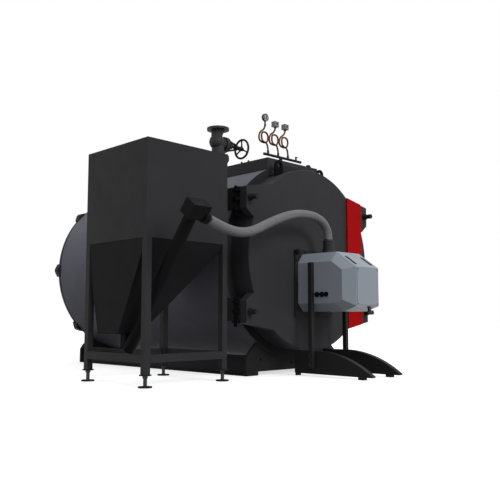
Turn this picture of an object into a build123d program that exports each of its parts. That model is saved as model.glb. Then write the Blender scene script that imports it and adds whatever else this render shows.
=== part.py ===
"""A fire-tube boiler with a pellet burner on its door, a feed hose, an auger and a hopper.

Millimetres, +X to the right and +Y to the rear for someone who faces the door, +Z up.
Sizes below are measured from the drum's axis in X, the door's front face in Y and the floor in Z.
The origin is on the floor, under the middle of the plant's plan.
"""

import os
from math import cos, hypot, pi, radians, sin, sqrt, tan

from build123d import *

os.makedirs("parts", exist_ok=True)

# Shared clearances
overrun = 20
seat_gap = 0.3
door_gap = 5
hinge_gap = 5

# Drum
drum_clearance = 182
casing_radius = 1198
casing_front = 300
casing_length = 3600
casing_wall = 198
tube_plate_setback = 120
tube_plate_thickness = 30
rear_chamber_depth = 330

# Smokebox
smokebox_step = 98
smokebox_wall = 12
flange_step = 5
flange_thickness = 20

# Furnace and smoke tubes
furnace_drop_share = 0.3
furnace_radius_share = 0.43
furnace_wall = 20
furnace_projection = 40
furnace_back_thickness = 30
tube_radius = 45
tube_wall = 5
tube_projection = 10
tube_rows_share = (0.83, 0.66)
tube_row_counts = (15, 11)
tube_row_sweep = 216

# Rear end
rear_cover_step = 10
rear_cover_thickness = 75
flue_rise = 430
flue_radius = 225
flue_wall = 6
flue_length = 240
flue_flange_radius = 275
flue_flange_thickness = 12
flue_hole_radius = 8
flue_hole_circle = 250
flue_hole_count = 12
clamp_count = 8
clamp_reach = 42
clamp_root_width = 190
clamp_tip_width = 40
clamp_length = 95
clamp_lip = 62
clamp_lip_thickness = 24

# Saddles and skid
saddle_setback = 5
saddle_thickness = 40
saddle_half_width = 838
saddle_side_height = 200
saddle_knee = (35, 257)
saddle_shoulder = (163, 372)
saddle_crown = (240, 453)
saddle_holes = ((233, 184), (783, 129))
saddle_hole_radius = 16
foot_width = 195
foot_rise = 45
skid_height = 234
skid_depth = 80
skid_web = 8
skid_flange = 12

# Roof deck
deck_inset = 2
deck_rise = 52
deck_half_width = 475
deck_plate = 6
bearer_half_width = 420
bearer_thickness = 60
bearer_places_share = (0.09, 0.3, 0.58, 0.86)

# Lifting lugs
lug_spread = 395
lug_place = 197
lug_rise = 42
lug_radius = 66
lug_thickness = 25
lug_hole_radius = 32

# Steam nozzle and stop valve
valve_place = 1725
nozzle_radius = 84
nozzle_reach = 350
nozzle_hub_radius = 105
nozzle_hub_height = 45
joint_flange_radius = 159
joint_flange_thickness = 32
deck_clearance = 30
valve_height = 440
valve_centre_rise = 220
valve_bore_radius = 75
valve_bore_depth = 60
valve_lower_neck_radius = 90
valve_upper_neck_radius = 81
valve_neck_offset = 22
valve_flare_radius = 96
valve_flare_height = 76
valve_belly_radius = 110
valve_belly_rise = 17
valve_bolt_circle = 135
valve_bolt_radius = 11
valve_bolt_count = 12
bonnet_neck_radius = 88
bonnet_ring_radius = 112
bonnet_ring_start = 95
bonnet_ring_thickness = 33
bonnet_flange_thickness = 28
bonnet_cone_root_radius = 95
bonnet_cone_tip_radius = 60
bonnet_cone_length = 59
stuffing_radius = 40
stuffing_length = 47
yoke_root_spread = 85
yoke_tip_spread = 30
yoke_arm_width = 26
yoke_arm_depth = 30
yoke_length = 209
yoke_head_thickness = 30
yoke_head_radius = 40
sleeve_radius = 31
sleeve_length = 75
stem_radius = 13
stem_end = 60
wheel_place = 34
wheel_radius = 154
wheel_rim_radius = 13
wheel_spoke_radius = 9
wheel_spoke_count = 3
wheel_hub_radius = 31
wheel_hub_length = 41

# Gauge manifold, siphons and instruments
manifold_place = 520
manifold_rise = 110
manifold_left = 303
manifold_right = 387
manifold_radius = 17
manifold_stub_radius = 24
foot_collar_radius = 15
foot_collar_height = 28
cock_place = 302
cock_height = 52
cock_radius = 12
cock_lever_length = 28
cock_lever_thickness = 8
siphon_feet = (-238, -48, 142)
siphon_shift = 50
siphon_radius = 9
siphon_loop_radius = 66
siphon_loop_rise = 217
siphon_loop_pitch = 22
siphon_end_pitch = 4
gauge_rise = 472
gauge_radius = 50
gauge_depth = 25
gauge_neck_radius = 11
switch_rise = 420
switch_width = 76
switch_height = 70
switch_depth = 62

# Front door
door_thickness = 105
door_edge = 8
ear_overhang = 37
ear_inner_share = 0.6335
ear_inner_rise_share = 0.7674
ear_high_share = 0.6923
ear_low_share = 0.4679
ear_heel_share = (0.9367, 0.3891)
burner_hole_radius = 165
lining_step = 60
lining_thickness = 90

# Door clamps
clamp_bolt_inset = 52
clamp_bolt_rise_share = 0.579
clamp_bolt_radius = 20
clamp_bolt_length = 70
clamp_head_radius = 32
clamp_head_length = 45

# Hinge
hinge_overhang = 8
hinge_setback = 58
hinge_rise_share = 0.572
hinge_pin_radius = 20
hinge_pin_rises = (-176, 150)
hinge_lug_radius = 48
hinge_lug_thickness = 20
hinge_lug_rises = (-124, 97)
hinge_lug_root_share = 0.673
hinge_arm_thickness = 34
hinge_arm_width = 132
hinge_arm_foot = 15
hinge_collar_radius = 30
hinge_collar_height = 16
hinge_nut_height = 24

# Red side panel
side_panel_inset = 158
side_panel_width = 298
side_panel_margin = 3
side_panel_corner = 18
side_panel_thickness = 25

# Burner, with heights from the furnace's axis
mounting_half_width = 345
mounting_half_height = 400
mounting_thickness = 22
cover_half_core = 215
cover_half_width = 299
cover_core_front = 805
cover_core_rise = 350
cover_core_drop = 335
cover_core_brow = 536
cover_core_brow_rise = 165
cover_core_chin = 632
cover_core_chin_drop = 275
cover_side_front = 670
cover_side_rise = 236
cover_side_drop = 242
cover_side_brow = 519
cover_side_chin = 562
cover_panel_margin = 14
cover_panel_thickness = 6
vent_spread = 150
vent_width = 26
vent_length = 190
vent_depth = 12
vent_place_share = 0.55
burner_tube_radius = 150
burner_tube_wall = 10
burner_tube_end = 600

# Burner stand
leg_size = 50
leg_place = 240
leg_bottom = 94
leg_rise = 230
ski_inner = 231
ski_rear = 39
ski_flat_end = 350
ski_gap = 8
ski_bottom = 29
ski_bow = (-752, 206)
ski_tip = 1050
ski_tip_height = 45
pad_spans = ((-870, -940), (30, 0))

# Hose socket
socket_place = 246
socket_radius = 60
socket_height = 160
socket_lip_radius = 72
socket_step_height = 60
socket_rib_radius = 67
socket_rib_height = 12
socket_rib_count = 3

# Hose: shares of its span in X, then Y and the rise over the straight line between its ends
hose_radius = 50
spout_shift = 140
spout_y = -452
spout_height = 1622
hose_route_share = (
    0.0578,
    0.1306,
    0.2293,
    0.328,
    0.429,
    0.5348,
    0.6382,
    0.7298,
    0.812,
    0.8849,
    0.9427,
    0.9803,
    1,
)
hose_route_offsets = (
    (-443, -30),
    (-428, -68),
    (-405, -82),
    (-382, -42),
    (-359, 52),
    (-335, 143),
    (-311, 216),
    (-291, 255),
    (-276, 268),
    (-262, 259),
    (-253, 223),
    (-247, 161),
    (-246, 82),
)
hose_bend_share = 0.45

# Hopper
hopper_gap = 177
bin_width = 1085
bin_front = 63
bin_rear = 1148
bin_bottom = 1466
bin_top = 2467
bin_wall = 5
lid_thickness = 8
leg_tube = 68
leg_foot_height = 125
outlet_inset = 42
outlet_width = 293
outlet_front = 585
outlet_rear = 955
outlet_height = 517
beam_height = 80
beam_thickness = 40
beam_bottom = 237
foot_radius = 70
foot_thickness = 14
foot_rod_radius = 15
foot_plate_radius = 61
foot_plate_thickness = 10

# Feed auger
auger_box_bottom = 289
auger_inset = 192
auger_low = (650, 322)
head_shift = 3
head_rise = 78
auger_size = 110
auger_wall = 5
head_width = 220
head_depth = 150
head_length = 160
spout_radius = 58
spout_length = 60

# Heights and places that follow from the sizes
drum_height = drum_clearance + casing_radius
crown_height = drum_height + casing_radius
casing_rear = casing_front + casing_length
cover_back = casing_rear + rear_cover_thickness
shell_radius = casing_radius - casing_wall
smokebox_radius = casing_radius - smokebox_step
flange_radius = smokebox_radius + flange_step
door_radius = flange_radius
furnace_radius = furnace_radius_share * shell_radius
furnace_drop = furnace_drop_share * shell_radius
furnace_height = drum_height - furnace_drop
deck_top = crown_height + deck_rise
deck_underside = deck_top - deck_plate
joint_height = crown_height + nozzle_reach
manifold_height = deck_top + manifold_rise
ski_top = drum_height - sqrt(door_radius**2 - ski_inner**2) - ski_gap
bin_right = -(casing_radius + hopper_gap)
bin_left = bin_right - bin_width
auger_x = bin_left + auger_inset

# The origin, from the plan's outermost pieces
plan_left = bin_left + leg_tube / 2 - foot_radius
plan_right = casing_radius + clamp_reach
plan_front = -ski_tip
plan_rear = cover_back + flue_length
axis_x = -(plan_left + plan_right) / 2
door_y = -(plan_front + plan_rear) / 2


def at(x, y, z):
    """A place in the part's own frame."""
    return (axis_x + x, door_y + y, z)


def plan(z, x=0, y=0):
    """A level plane: X right, Y rear."""
    return Plane(origin=at(x, y, z), x_dir=(1, 0, 0), z_dir=(0, 0, 1))


def elevation(y, x=0, z=0):
    """An upright plane that faces the front: X right, Z up. Extruding by less than zero goes back."""
    return Plane(origin=at(x, y, z), x_dir=(1, 0, 0), z_dir=(0, -1, 0))


def profile(x, y=0, z=0):
    """An upright plane that faces right: Y rear, Z up."""
    return Plane(origin=at(x, y, z), x_dir=(0, 1, 0), z_dir=(1, 0, 0))


drum_axis = Axis(at(0, 0, drum_height), (0, 1, 0))
smokebox_front = door_thickness + door_gap
front_plate_front = casing_front + tube_plate_setback
rear_plate_front = casing_rear - rear_chamber_depth
furnace_rear = rear_plate_front


def finish(piece, name):
    """Label a finished piece and write it."""
    piece.label = name
    export_step(piece, f"parts/{name}.step")


# The space that the drum fills, which everything seated on it is cut to
with BuildPart() as casing_space:
    with BuildSketch(elevation(-overrun, 0, drum_height)):
        Circle(casing_radius + seat_gap)
    extrude(amount=-(casing_rear + 2 * overrun))

with BuildPart() as smokebox_space:
    with BuildSketch(elevation(-overrun, 0, drum_height)):
        Circle(smokebox_radius + seat_gap)
    extrude(amount=-(casing_rear + 2 * overrun))

# Lagged boiler shell
with BuildPart() as boiler_casing:
    with BuildSketch(elevation(casing_front, 0, drum_height)):
        Circle(casing_radius)
        Circle(shell_radius, mode=Mode.SUBTRACT)
    extrude(amount=-casing_length)

finish(boiler_casing.part, "boiler_casing")

# Front smokebox with its door flange
flange_back = smokebox_front + flange_thickness

with BuildPart() as front_smokebox:
    with BuildSketch(plan(drum_height)):
        with BuildLine():
            Polyline(
                (shell_radius, smokebox_front),
                (flange_radius, smokebox_front),
                (flange_radius, flange_back),
                (smokebox_radius, flange_back),
                (smokebox_radius, casing_front),
                (smokebox_radius - smokebox_wall, casing_front),
                (smokebox_radius - smokebox_wall, flange_back),
                (shell_radius, flange_back),
                close=True,
            )
        make_face()
    revolve(axis=drum_axis)

finish(front_smokebox.part, "front_smokebox")

# Tube plates: the tubes stand in arcs over the furnace
tube_places = []
for row_share, row_count in zip(tube_rows_share, tube_row_counts):
    row_radius = row_share * shell_radius
    for k in range(row_count):
        turn = radians(90 - tube_row_sweep / 2 + tube_row_sweep * k / (row_count - 1))
        tube_places.append((row_radius * cos(turn), row_radius * sin(turn)))


def tube_plate(y):
    """A plate across the shell with its holes for the furnace and the smoke tubes."""
    with BuildPart() as plate:
        with BuildSketch(elevation(y, 0, drum_height)):
            Circle(shell_radius - seat_gap)
            with Locations(*tube_places):
                Circle(tube_radius + seat_gap, mode=Mode.SUBTRACT)
        extrude(amount=-tube_plate_thickness)
    return plate


with BuildPart() as front_tube_plate:
    add(tube_plate(front_plate_front).part)
    with BuildSketch(elevation(front_plate_front - overrun, 0, furnace_height)):
        Circle(furnace_radius + seat_gap)
    extrude(amount=-(tube_plate_thickness + 2 * overrun), mode=Mode.SUBTRACT)

finish(front_tube_plate.part, "front_tube_plate")
finish(tube_plate(rear_plate_front).part, "rear_tube_plate")

with BuildPart() as smoke_tubes:
    with BuildSketch(elevation(front_plate_front - tube_projection, 0, drum_height)):
        with Locations(*tube_places):
            Circle(tube_radius)
            Circle(tube_radius - tube_wall, mode=Mode.SUBTRACT)
    extrude(amount=-(rear_plate_front + tube_plate_thickness + 2 * tube_projection - front_plate_front))

finish(smoke_tubes.part, "smoke_tubes")

# Furnace tube, closed at its rear
furnace_front = front_plate_front - furnace_projection

with BuildPart() as furnace_tube:
    with BuildSketch(elevation(furnace_front, 0, furnace_height)):
        Circle(furnace_radius)
    extrude(amount=-(furnace_rear - furnace_front))
    with BuildSketch(elevation(furnace_front, 0, furnace_height)):
        Circle(furnace_radius - furnace_wall)
    extrude(amount=-(furnace_rear - furnace_front - furnace_back_thickness), mode=Mode.SUBTRACT)

finish(furnace_tube.part, "furnace_tube")

# Rear cover, its clamps and the flue outlet
flue_height = drum_height + flue_rise

with BuildPart() as rear_cover:
    with BuildSketch(elevation(casing_rear, 0, drum_height)):
        Circle(casing_radius - rear_cover_step)
        with Locations((0, flue_rise)):
            Circle(flue_radius - flue_wall, mode=Mode.SUBTRACT)
    extrude(amount=-rear_cover_thickness)

finish(rear_cover.part, "rear_cover")

clamp_inner = casing_radius + seat_gap
clamp_outline = (
    (clamp_inner - clamp_lip, -clamp_root_width / 2),
    (clamp_inner, -clamp_root_width / 2),
    (plan_right, -clamp_tip_width / 2),
    (plan_right, clamp_tip_width / 2),
    (clamp_inner, clamp_root_width / 2),
    (clamp_inner - clamp_lip, clamp_root_width / 2),
)

with BuildPart() as rear_clamps:
    with BuildSketch(elevation(cover_back + clamp_lip_thickness, 0, drum_height)):
        with PolarLocations(0, clamp_count):
            Polygon(*clamp_outline, align=None)
    extrude(amount=clamp_length)
    with BuildSketch(elevation(cover_back, 0, drum_height)):
        Circle(clamp_inner)
    extrude(amount=clamp_length, mode=Mode.SUBTRACT)

finish(rear_clamps.part, "rear_clamps")

with BuildPart() as flue_outlet:
    with BuildSketch(elevation(cover_back, 0, flue_height)):
        Circle(flue_radius)
    extrude(amount=-flue_length)
    with BuildSketch(elevation(plan_rear - flue_flange_thickness, 0, flue_height)):
        Circle(flue_flange_radius)
    extrude(amount=-flue_flange_thickness)
    with BuildSketch(elevation(cover_back, 0, flue_height)):
        Circle(flue_radius - flue_wall)
        with PolarLocations(flue_hole_circle, flue_hole_count):
            Circle(flue_hole_radius)
    extrude(amount=-flue_length, mode=Mode.SUBTRACT)

finish(flue_outlet.part, "flue_outlet")


# Saddles: the points of the upper edge and the holes are stated from the outer end
saddle_edge = [(saddle_half_width - inset, z) for inset, z in (saddle_knee, saddle_shoulder, saddle_crown)]
saddle_hole_places = [(saddle_half_width - inset, z) for inset, z in saddle_holes]


def saddle(y):
    """An upright plate on two feet, cut to the drum."""
    with BuildPart() as plate:
        with BuildSketch(elevation(y)):
            with BuildLine():
                Polyline(
                    (0, foot_rise),
                    (saddle_half_width - foot_width, foot_rise),
                    (saddle_half_width - foot_width, 0),
                    (saddle_half_width, 0),
                    (saddle_half_width, saddle_side_height),
                    *saddle_edge,
                    (0, saddle_crown[1]),
                    close=True,
                )
            make_face()
            with Locations(*saddle_hole_places):
                Circle(saddle_hole_radius, mode=Mode.SUBTRACT)
            mirror(about=Plane.YZ)
        extrude(amount=-saddle_thickness)
        add(casing_space.part, mode=Mode.SUBTRACT)
    return plate


front_saddle_face = casing_front + saddle_setback

finish(saddle(front_saddle_face).part, "front_saddle")
finish(saddle(casing_rear - saddle_thickness).part, "rear_saddle")

# Skid beams, channels open to the outside
skid_front = front_saddle_face + saddle_thickness
skid_length = casing_rear - saddle_thickness - skid_front

with BuildPart() as skid_beams:
    with BuildSketch(elevation(skid_front)):
        with BuildLine():
            Polyline(
                (saddle_half_width - skid_depth, 0),
                (saddle_half_width, 0),
                (saddle_half_width, skid_flange),
                (saddle_half_width - skid_depth + skid_web, skid_flange),
                (saddle_half_width - skid_depth + skid_web, skid_height - skid_flange),
                (saddle_half_width, skid_height - skid_flange),
                (saddle_half_width, skid_height),
                (saddle_half_width - skid_depth, skid_height),
                close=True,
            )
        make_face()
        mirror(about=Plane.YZ)
    extrude(amount=-skid_length)

finish(skid_beams.part, "skid_beams")

# Roof deck with its skirt down to the casing, and the bearers under it
deck_length = casing_length - 2 * deck_inset
deck_middle = casing_front + casing_length / 2

with BuildPart() as roof_deck:
    with BuildSketch(plan(drum_height, 0, deck_middle)):
        Rectangle(2 * deck_half_width, deck_length)
    extrude(amount=deck_top - drum_height)
    with BuildSketch(plan(drum_height, 0, deck_middle)):
        Rectangle(2 * (deck_half_width - deck_plate), deck_length - 2 * deck_plate)
    extrude(amount=deck_underside - drum_height, mode=Mode.SUBTRACT)
    with BuildSketch(plan(deck_underside - overrun)):
        with Locations((0, valve_place)):
            Circle(nozzle_radius + deck_clearance)
        with Locations((0, manifold_place)):
            Circle(manifold_stub_radius + seat_gap)
    extrude(amount=deck_plate + 2 * overrun, mode=Mode.SUBTRACT)
    add(casing_space.part, mode=Mode.SUBTRACT)

finish(roof_deck.part, "roof_deck")

with BuildPart() as deck_bearers:
    for share in bearer_places_share:
        with BuildSketch(plan(drum_height, 0, casing_front + share * casing_length)):
            Rectangle(2 * bearer_half_width, bearer_thickness)
        extrude(amount=deck_underside - drum_height)
    add(casing_space.part, mode=Mode.SUBTRACT)

finish(deck_bearers.part, "deck_bearers")

# Lifting lugs on the smokebox
lug_hole_height = drum_height + smokebox_radius + lug_rise

with BuildPart() as lifting_lugs:
    for side in (-1, 1):
        with BuildSketch(elevation(lug_place - lug_thickness / 2, side * lug_spread, lug_hole_height)):
            Circle(lug_radius)
            with Locations((0, (drum_height - lug_hole_height) / 2)):
                Rectangle(2 * lug_radius, lug_hole_height - drum_height)
            Circle(lug_hole_radius, mode=Mode.SUBTRACT)
        extrude(amount=-lug_thickness)
    add(smokebox_space.part, mode=Mode.SUBTRACT)

finish(lifting_lugs.part, "lifting_lugs")

# Steam nozzle
nozzle_flange_bottom = joint_height - joint_flange_thickness

with BuildPart() as steam_nozzle:
    with BuildSketch(plan(drum_height, 0, valve_place)):
        Circle(nozzle_radius)
    extrude(amount=nozzle_flange_bottom - drum_height)
    add(casing_space.part, mode=Mode.SUBTRACT)
    with BuildSketch(plan(nozzle_flange_bottom - nozzle_hub_height, 0, valve_place)):
        Circle(nozzle_radius)
    with BuildSketch(plan(nozzle_flange_bottom, 0, valve_place)):
        Circle(nozzle_hub_radius)
    loft()
    with BuildSketch(plan(nozzle_flange_bottom, 0, valve_place)):
        Circle(joint_flange_radius)
    extrude(amount=joint_flange_thickness)

finish(steam_nozzle.part, "steam_nozzle")

# Stop valve body: a cast globe between two flanges, with a side neck for the bonnet
valve_centre_height = joint_height + valve_centre_rise
valve_top_height = joint_height + valve_height
valve_top_flange_bottom = valve_top_height - joint_flange_thickness
flare_bottom = valve_top_flange_bottom - valve_flare_height
bonnet_flange_start = bonnet_ring_start + bonnet_ring_thickness

with BuildPart() as stop_valve_body:
    with BuildSketch(plan(joint_height, 0, valve_place)):
        Circle(joint_flange_radius)
    extrude(amount=joint_flange_thickness)
    with BuildSketch(plan(joint_height, 0, valve_place)):
        Circle(valve_lower_neck_radius)
    extrude(amount=valve_centre_rise)
    with Locations(at(-valve_neck_offset, valve_place, valve_centre_height + valve_belly_rise)):
        Sphere(valve_belly_radius)
    with BuildSketch(plan(valve_centre_height, -valve_neck_offset, valve_place)):
        Circle(valve_upper_neck_radius)
    extrude(amount=flare_bottom - valve_centre_height)
    with BuildSketch(plan(flare_bottom, -valve_neck_offset, valve_place)):
        Circle(valve_upper_neck_radius)
    with BuildSketch(plan(valve_top_flange_bottom, 0, valve_place)):
        Circle(valve_flare_radius)
    loft()
    with BuildSketch(plan(valve_top_flange_bottom, 0, valve_place)):
        Circle(joint_flange_radius)
    extrude(amount=joint_flange_thickness)
    with BuildSketch(profile(0, valve_place, valve_centre_height)):
        Circle(bonnet_neck_radius)
    extrude(amount=bonnet_ring_start)
    with BuildSketch(profile(bonnet_ring_start, valve_place, valve_centre_height)):
        Circle(bonnet_ring_radius)
    extrude(amount=bonnet_ring_thickness)
    with BuildSketch(plan(valve_top_height, 0, valve_place)):
        Circle(valve_bore_radius)
    extrude(amount=-valve_bore_depth, mode=Mode.SUBTRACT)
    with BuildSketch(plan(valve_top_height, 0, valve_place)):
        with PolarLocations(valve_bolt_circle, valve_bolt_count, start_angle=180 / valve_bolt_count):
            Circle(valve_bolt_radius)
    extrude(amount=-joint_flange_thickness, mode=Mode.SUBTRACT)

finish(stop_valve_body.part, "stop_valve_body")

# Bonnet with its yoke
cone_start = bonnet_flange_start + bonnet_flange_thickness
cone_end = cone_start + bonnet_cone_length
yoke_head_end = cone_start + yoke_length
yoke_head_start = yoke_head_end - yoke_head_thickness
sleeve_end = yoke_head_end + sleeve_length
wheel_reach = sleeve_end + wheel_place
stem_start = bonnet_flange_start + bonnet_flange_thickness / 2

with BuildPart() as valve_bonnet:
    with BuildSketch(profile(bonnet_flange_start, valve_place, valve_centre_height)):
        Circle(bonnet_ring_radius)
    extrude(amount=bonnet_flange_thickness)
    with BuildSketch(profile(cone_start, valve_place, valve_centre_height)):
        Circle(bonnet_cone_root_radius)
    with BuildSketch(profile(cone_end, valve_place, valve_centre_height)):
        Circle(bonnet_cone_tip_radius)
    loft()
    with BuildSketch(profile(cone_end, valve_place, valve_centre_height)):
        Circle(stuffing_radius)
    extrude(amount=stuffing_length)
    with BuildSketch(elevation(valve_place - yoke_arm_depth / 2, 0, valve_centre_height)):
        with BuildLine():
            Polyline(
                (cone_start, yoke_root_spread - yoke_arm_width / 2),
                (cone_start, yoke_root_spread + yoke_arm_width / 2),
                (yoke_head_end, yoke_tip_spread + yoke_arm_width / 2),
                (yoke_head_end, yoke_tip_spread - yoke_arm_width / 2),
                close=True,
            )
        make_face()
        mirror(about=Plane.XZ)
    extrude(amount=-yoke_arm_depth)
    with BuildSketch(profile(yoke_head_start, valve_place, valve_centre_height)):
        Circle(yoke_head_radius)
    extrude(amount=yoke_head_thickness)
    with BuildSketch(profile(yoke_head_end, valve_place, valve_centre_height)):
        Circle(sleeve_radius)
    extrude(amount=sleeve_length)
    with BuildSketch(profile(stem_start, valve_place, valve_centre_height)):
        Circle(stem_radius + seat_gap)
    extrude(amount=wheel_reach, mode=Mode.SUBTRACT)

finish(valve_bonnet.part, "valve_bonnet")

# Handwheel with its stem
stem_length = wheel_reach + stem_end - stem_start - seat_gap

with BuildPart(profile(wheel_reach, valve_place, valve_centre_height)) as valve_handwheel:
    Torus(wheel_radius - wheel_rim_radius, wheel_rim_radius)
    Cylinder(wheel_hub_radius, wheel_hub_length)
    with PolarLocations(0, wheel_spoke_count, start_angle=90):
        with Locations((wheel_radius / 2, 0, 0)):
            Cylinder(wheel_spoke_radius, wheel_radius - 2 * wheel_rim_radius, rotation=(0, 90, 0))
    with Locations((0, 0, stem_end - stem_length / 2)):
        Cylinder(stem_radius, stem_length)

finish(valve_handwheel.part, "valve_handwheel")

# Gauge manifold on its stub, with a test cock
cock_top = manifold_height + cock_height

with BuildPart() as gauge_manifold:
    with BuildSketch(profile(-manifold_left, manifold_place, manifold_height)):
        Circle(manifold_radius)
    extrude(amount=manifold_left + manifold_right)
    with BuildSketch(plan(drum_height, 0, manifold_place)):
        Circle(manifold_stub_radius)
    extrude(amount=manifold_height - drum_height)
    add(casing_space.part, mode=Mode.SUBTRACT)
    for foot in siphon_feet:
        with BuildSketch(plan(manifold_height, foot, manifold_place)):
            Circle(foot_collar_radius)
        extrude(amount=manifold_radius + foot_collar_height)
    with BuildSketch(plan(manifold_height, cock_place, manifold_place)):
        Circle(cock_radius)
    extrude(amount=cock_height)
    with BuildSketch(plan(cock_top, cock_place + cock_lever_length / 2, manifold_place)):
        Rectangle(cock_lever_length + 2 * cock_radius, cock_radius)
    extrude(amount=cock_lever_thickness)

finish(gauge_manifold.part, "gauge_manifold")

# Pigtail siphons: each rises, makes one full turn and goes on, round its own left, to its instrument
siphon_bottom = manifold_height + manifold_radius + foot_collar_height
siphon_loop_height = manifold_height + siphon_loop_rise
gauge_height = manifold_height + gauge_rise
siphon_top_height = manifold_height + switch_rise - switch_height / 2
siphon_tops = [foot - siphon_shift for foot in siphon_feet]
instrument_y = manifold_place + siphon_end_pitch
loop_turns_share = ((-1, -1, 0), (-1, 1, 0.27), (1, 1, 0.55), (1, -1, 1), (-1.42, -1, 1), (-1.42, 0.75, 1))
loop_rise_share = 1.7


def siphon_path(foot, top):
    """The centre line of one siphon: a square loop with round corners, drawn out along Y."""
    points = [at(foot, manifold_place, siphon_bottom)]
    points.append(at(foot, manifold_place, siphon_loop_height - siphon_loop_radius))
    for side, rise, depth in loop_turns_share:
        points.append(
            at(
                top + side * siphon_loop_radius,
                manifold_place + depth * siphon_loop_pitch,
                siphon_loop_height + rise * siphon_loop_radius,
            )
        )
    points.append(at(top, instrument_y, siphon_loop_height + loop_rise_share * siphon_loop_radius))
    points.append(at(top, instrument_y, siphon_top_height))
    return points


def bend_radii(points, share):
    """The largest arc that each corner's shorter run allows."""
    radii = []
    for before, corner, after in zip(points, points[1:], points[2:]):
        a = Vector(*corner) - Vector(*before)
        b = Vector(*after) - Vector(*corner)
        radii.append(share * min(a.length, b.length) / tan(radians(a.get_angle(b)) / 2))
    return radii


with BuildPart() as siphons:
    for foot, top in zip(siphon_feet, siphon_tops):
        points = siphon_path(foot, top)
        with BuildLine() as path:
            FilletPolyline(*points, radius=bend_radii(points, hose_bend_share))
        with BuildSketch(Plane(origin=points[0], z_dir=(0, 0, 1))):
            Circle(siphon_radius)
        sweep(path=path.wires()[0])

finish(siphons.part, "siphons")

# Pressure gauge and the two pressure switches, seated on their siphons
gauge_neck_top = gauge_height - gauge_radius / 2

with BuildPart() as pressure_gauge:
    with BuildSketch(elevation(instrument_y - gauge_depth / 2, siphon_tops[0], gauge_height)):
        Circle(gauge_radius)
    extrude(amount=-gauge_depth)
    with BuildSketch(plan(siphon_top_height, siphon_tops[0], instrument_y)):
        Circle(gauge_neck_radius)
    extrude(amount=gauge_neck_top - siphon_top_height)

finish(pressure_gauge.part, "pressure_gauge")

with BuildPart() as pressure_switches:
    for top in siphon_tops[1:]:
        with BuildSketch(plan(siphon_top_height, top, instrument_y)):
            Rectangle(switch_width, switch_depth)
        extrude(amount=switch_height)

finish(pressure_switches.part, "pressure_switches")

# Hinge brackets on the smokebox, each with two lugs, a pin, its nut and the arm's collar
ear_half_width = door_radius + ear_overhang
hinge_x = -(ear_half_width + hinge_overhang)
hinge_y = door_thickness + hinge_setback
hinge_rise = hinge_rise_share * door_radius
hinge_lug_root = hinge_lug_root_share * smokebox_radius
hinge_heights = (drum_height - hinge_rise, drum_height + hinge_rise)
pin_low, pin_high = hinge_pin_rises
lug_front = flange_back + seat_gap
lug_rear = hinge_y + hinge_lug_radius

with BuildPart() as hinge_brackets:
    for height in hinge_heights:
        for rise in hinge_lug_rises:
            with BuildSketch(plan(height + rise - hinge_lug_thickness / 2)):
                with Locations((hinge_x, hinge_y)):
                    Circle(hinge_lug_radius)
                with Locations(((hinge_x - hinge_lug_root) / 2, (lug_front + lug_rear) / 2)):
                    Rectangle(-hinge_x - hinge_lug_root, lug_rear - lug_front)
            extrude(amount=hinge_lug_thickness)
        with BuildSketch(plan(height + pin_low, hinge_x, hinge_y)):
            Circle(hinge_pin_radius)
        extrude(amount=pin_high - pin_low)
        with BuildSketch(plan(height + hinge_lug_rises[1] + hinge_lug_thickness / 2, hinge_x, hinge_y)):
            RegularPolygon(hinge_collar_radius, 6)
        extrude(amount=hinge_nut_height)
        with BuildSketch(plan(height - hinge_arm_thickness / 2 - hinge_gap, hinge_x, hinge_y)):
            Circle(hinge_collar_radius)
        extrude(amount=-hinge_collar_height)
    add(smokebox_space.part, mode=Mode.SUBTRACT)

finish(hinge_brackets.part, "hinge_brackets")

# Front door: a disc with four ears
ear_inner = ear_inner_share * door_radius
ear_inner_rise = ear_inner_rise_share * door_radius
ear_high = ear_high_share * door_radius
ear_low = ear_low_share * door_radius
ear_heel = (ear_heel_share[0] * door_radius, ear_heel_share[1] * door_radius)

with BuildPart() as front_door:
    with BuildSketch(plan(drum_height)):
        with BuildLine():
            Polyline(
                (0, 0),
                (door_radius - door_edge, 0),
                (door_radius, door_edge),
                (door_radius, door_thickness),
                (0, door_thickness),
                close=True,
            )
        make_face()
    revolve(axis=drum_axis)
    with BuildSketch(elevation(0, 0, drum_height)):
        with BuildLine():
            Polyline(
                (ear_inner, ear_inner_rise),
                (ear_half_width, ear_high),
                (ear_half_width, ear_low),
                ear_heel,
                (ear_inner, ear_heel[1]),
                close=True,
            )
        make_face()
        mirror(about=Plane.YZ)
        mirror(about=Plane.XZ)
    extrude(amount=-door_thickness)
    with BuildSketch(elevation(-overrun, 0, furnace_height)):
        Circle(burner_hole_radius)
    extrude(amount=-(door_thickness + 2 * overrun), mode=Mode.SUBTRACT)

finish(front_door.part, "front_door")

with BuildPart() as door_lining:
    with BuildSketch(elevation(door_thickness, 0, drum_height)):
        Circle(shell_radius - lining_step)
        with Locations((0, -furnace_drop)):
            Circle(burner_hole_radius, mode=Mode.SUBTRACT)
    extrude(amount=-lining_thickness)

finish(door_lining.part, "door_lining")

# Clamp bolts on the ears
clamp_bolt_spread = ear_half_width - clamp_bolt_inset
clamp_bolt_rise = clamp_bolt_rise_share * door_radius

with BuildPart() as door_clamps:
    for side in (-1, 1):
        for level in (-1, 1):
            bolt_x = side * clamp_bolt_spread
            bolt_height = drum_height + level * clamp_bolt_rise
            with BuildSketch(elevation(0, bolt_x, bolt_height)):
                Circle(clamp_bolt_radius)
            extrude(amount=clamp_bolt_length)
            with BuildSketch(elevation(-clamp_bolt_length, bolt_x, bolt_height)):
                RegularPolygon(clamp_head_radius, 6)
            extrude(amount=clamp_head_length)

finish(door_clamps.part, "door_clamps")

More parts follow.
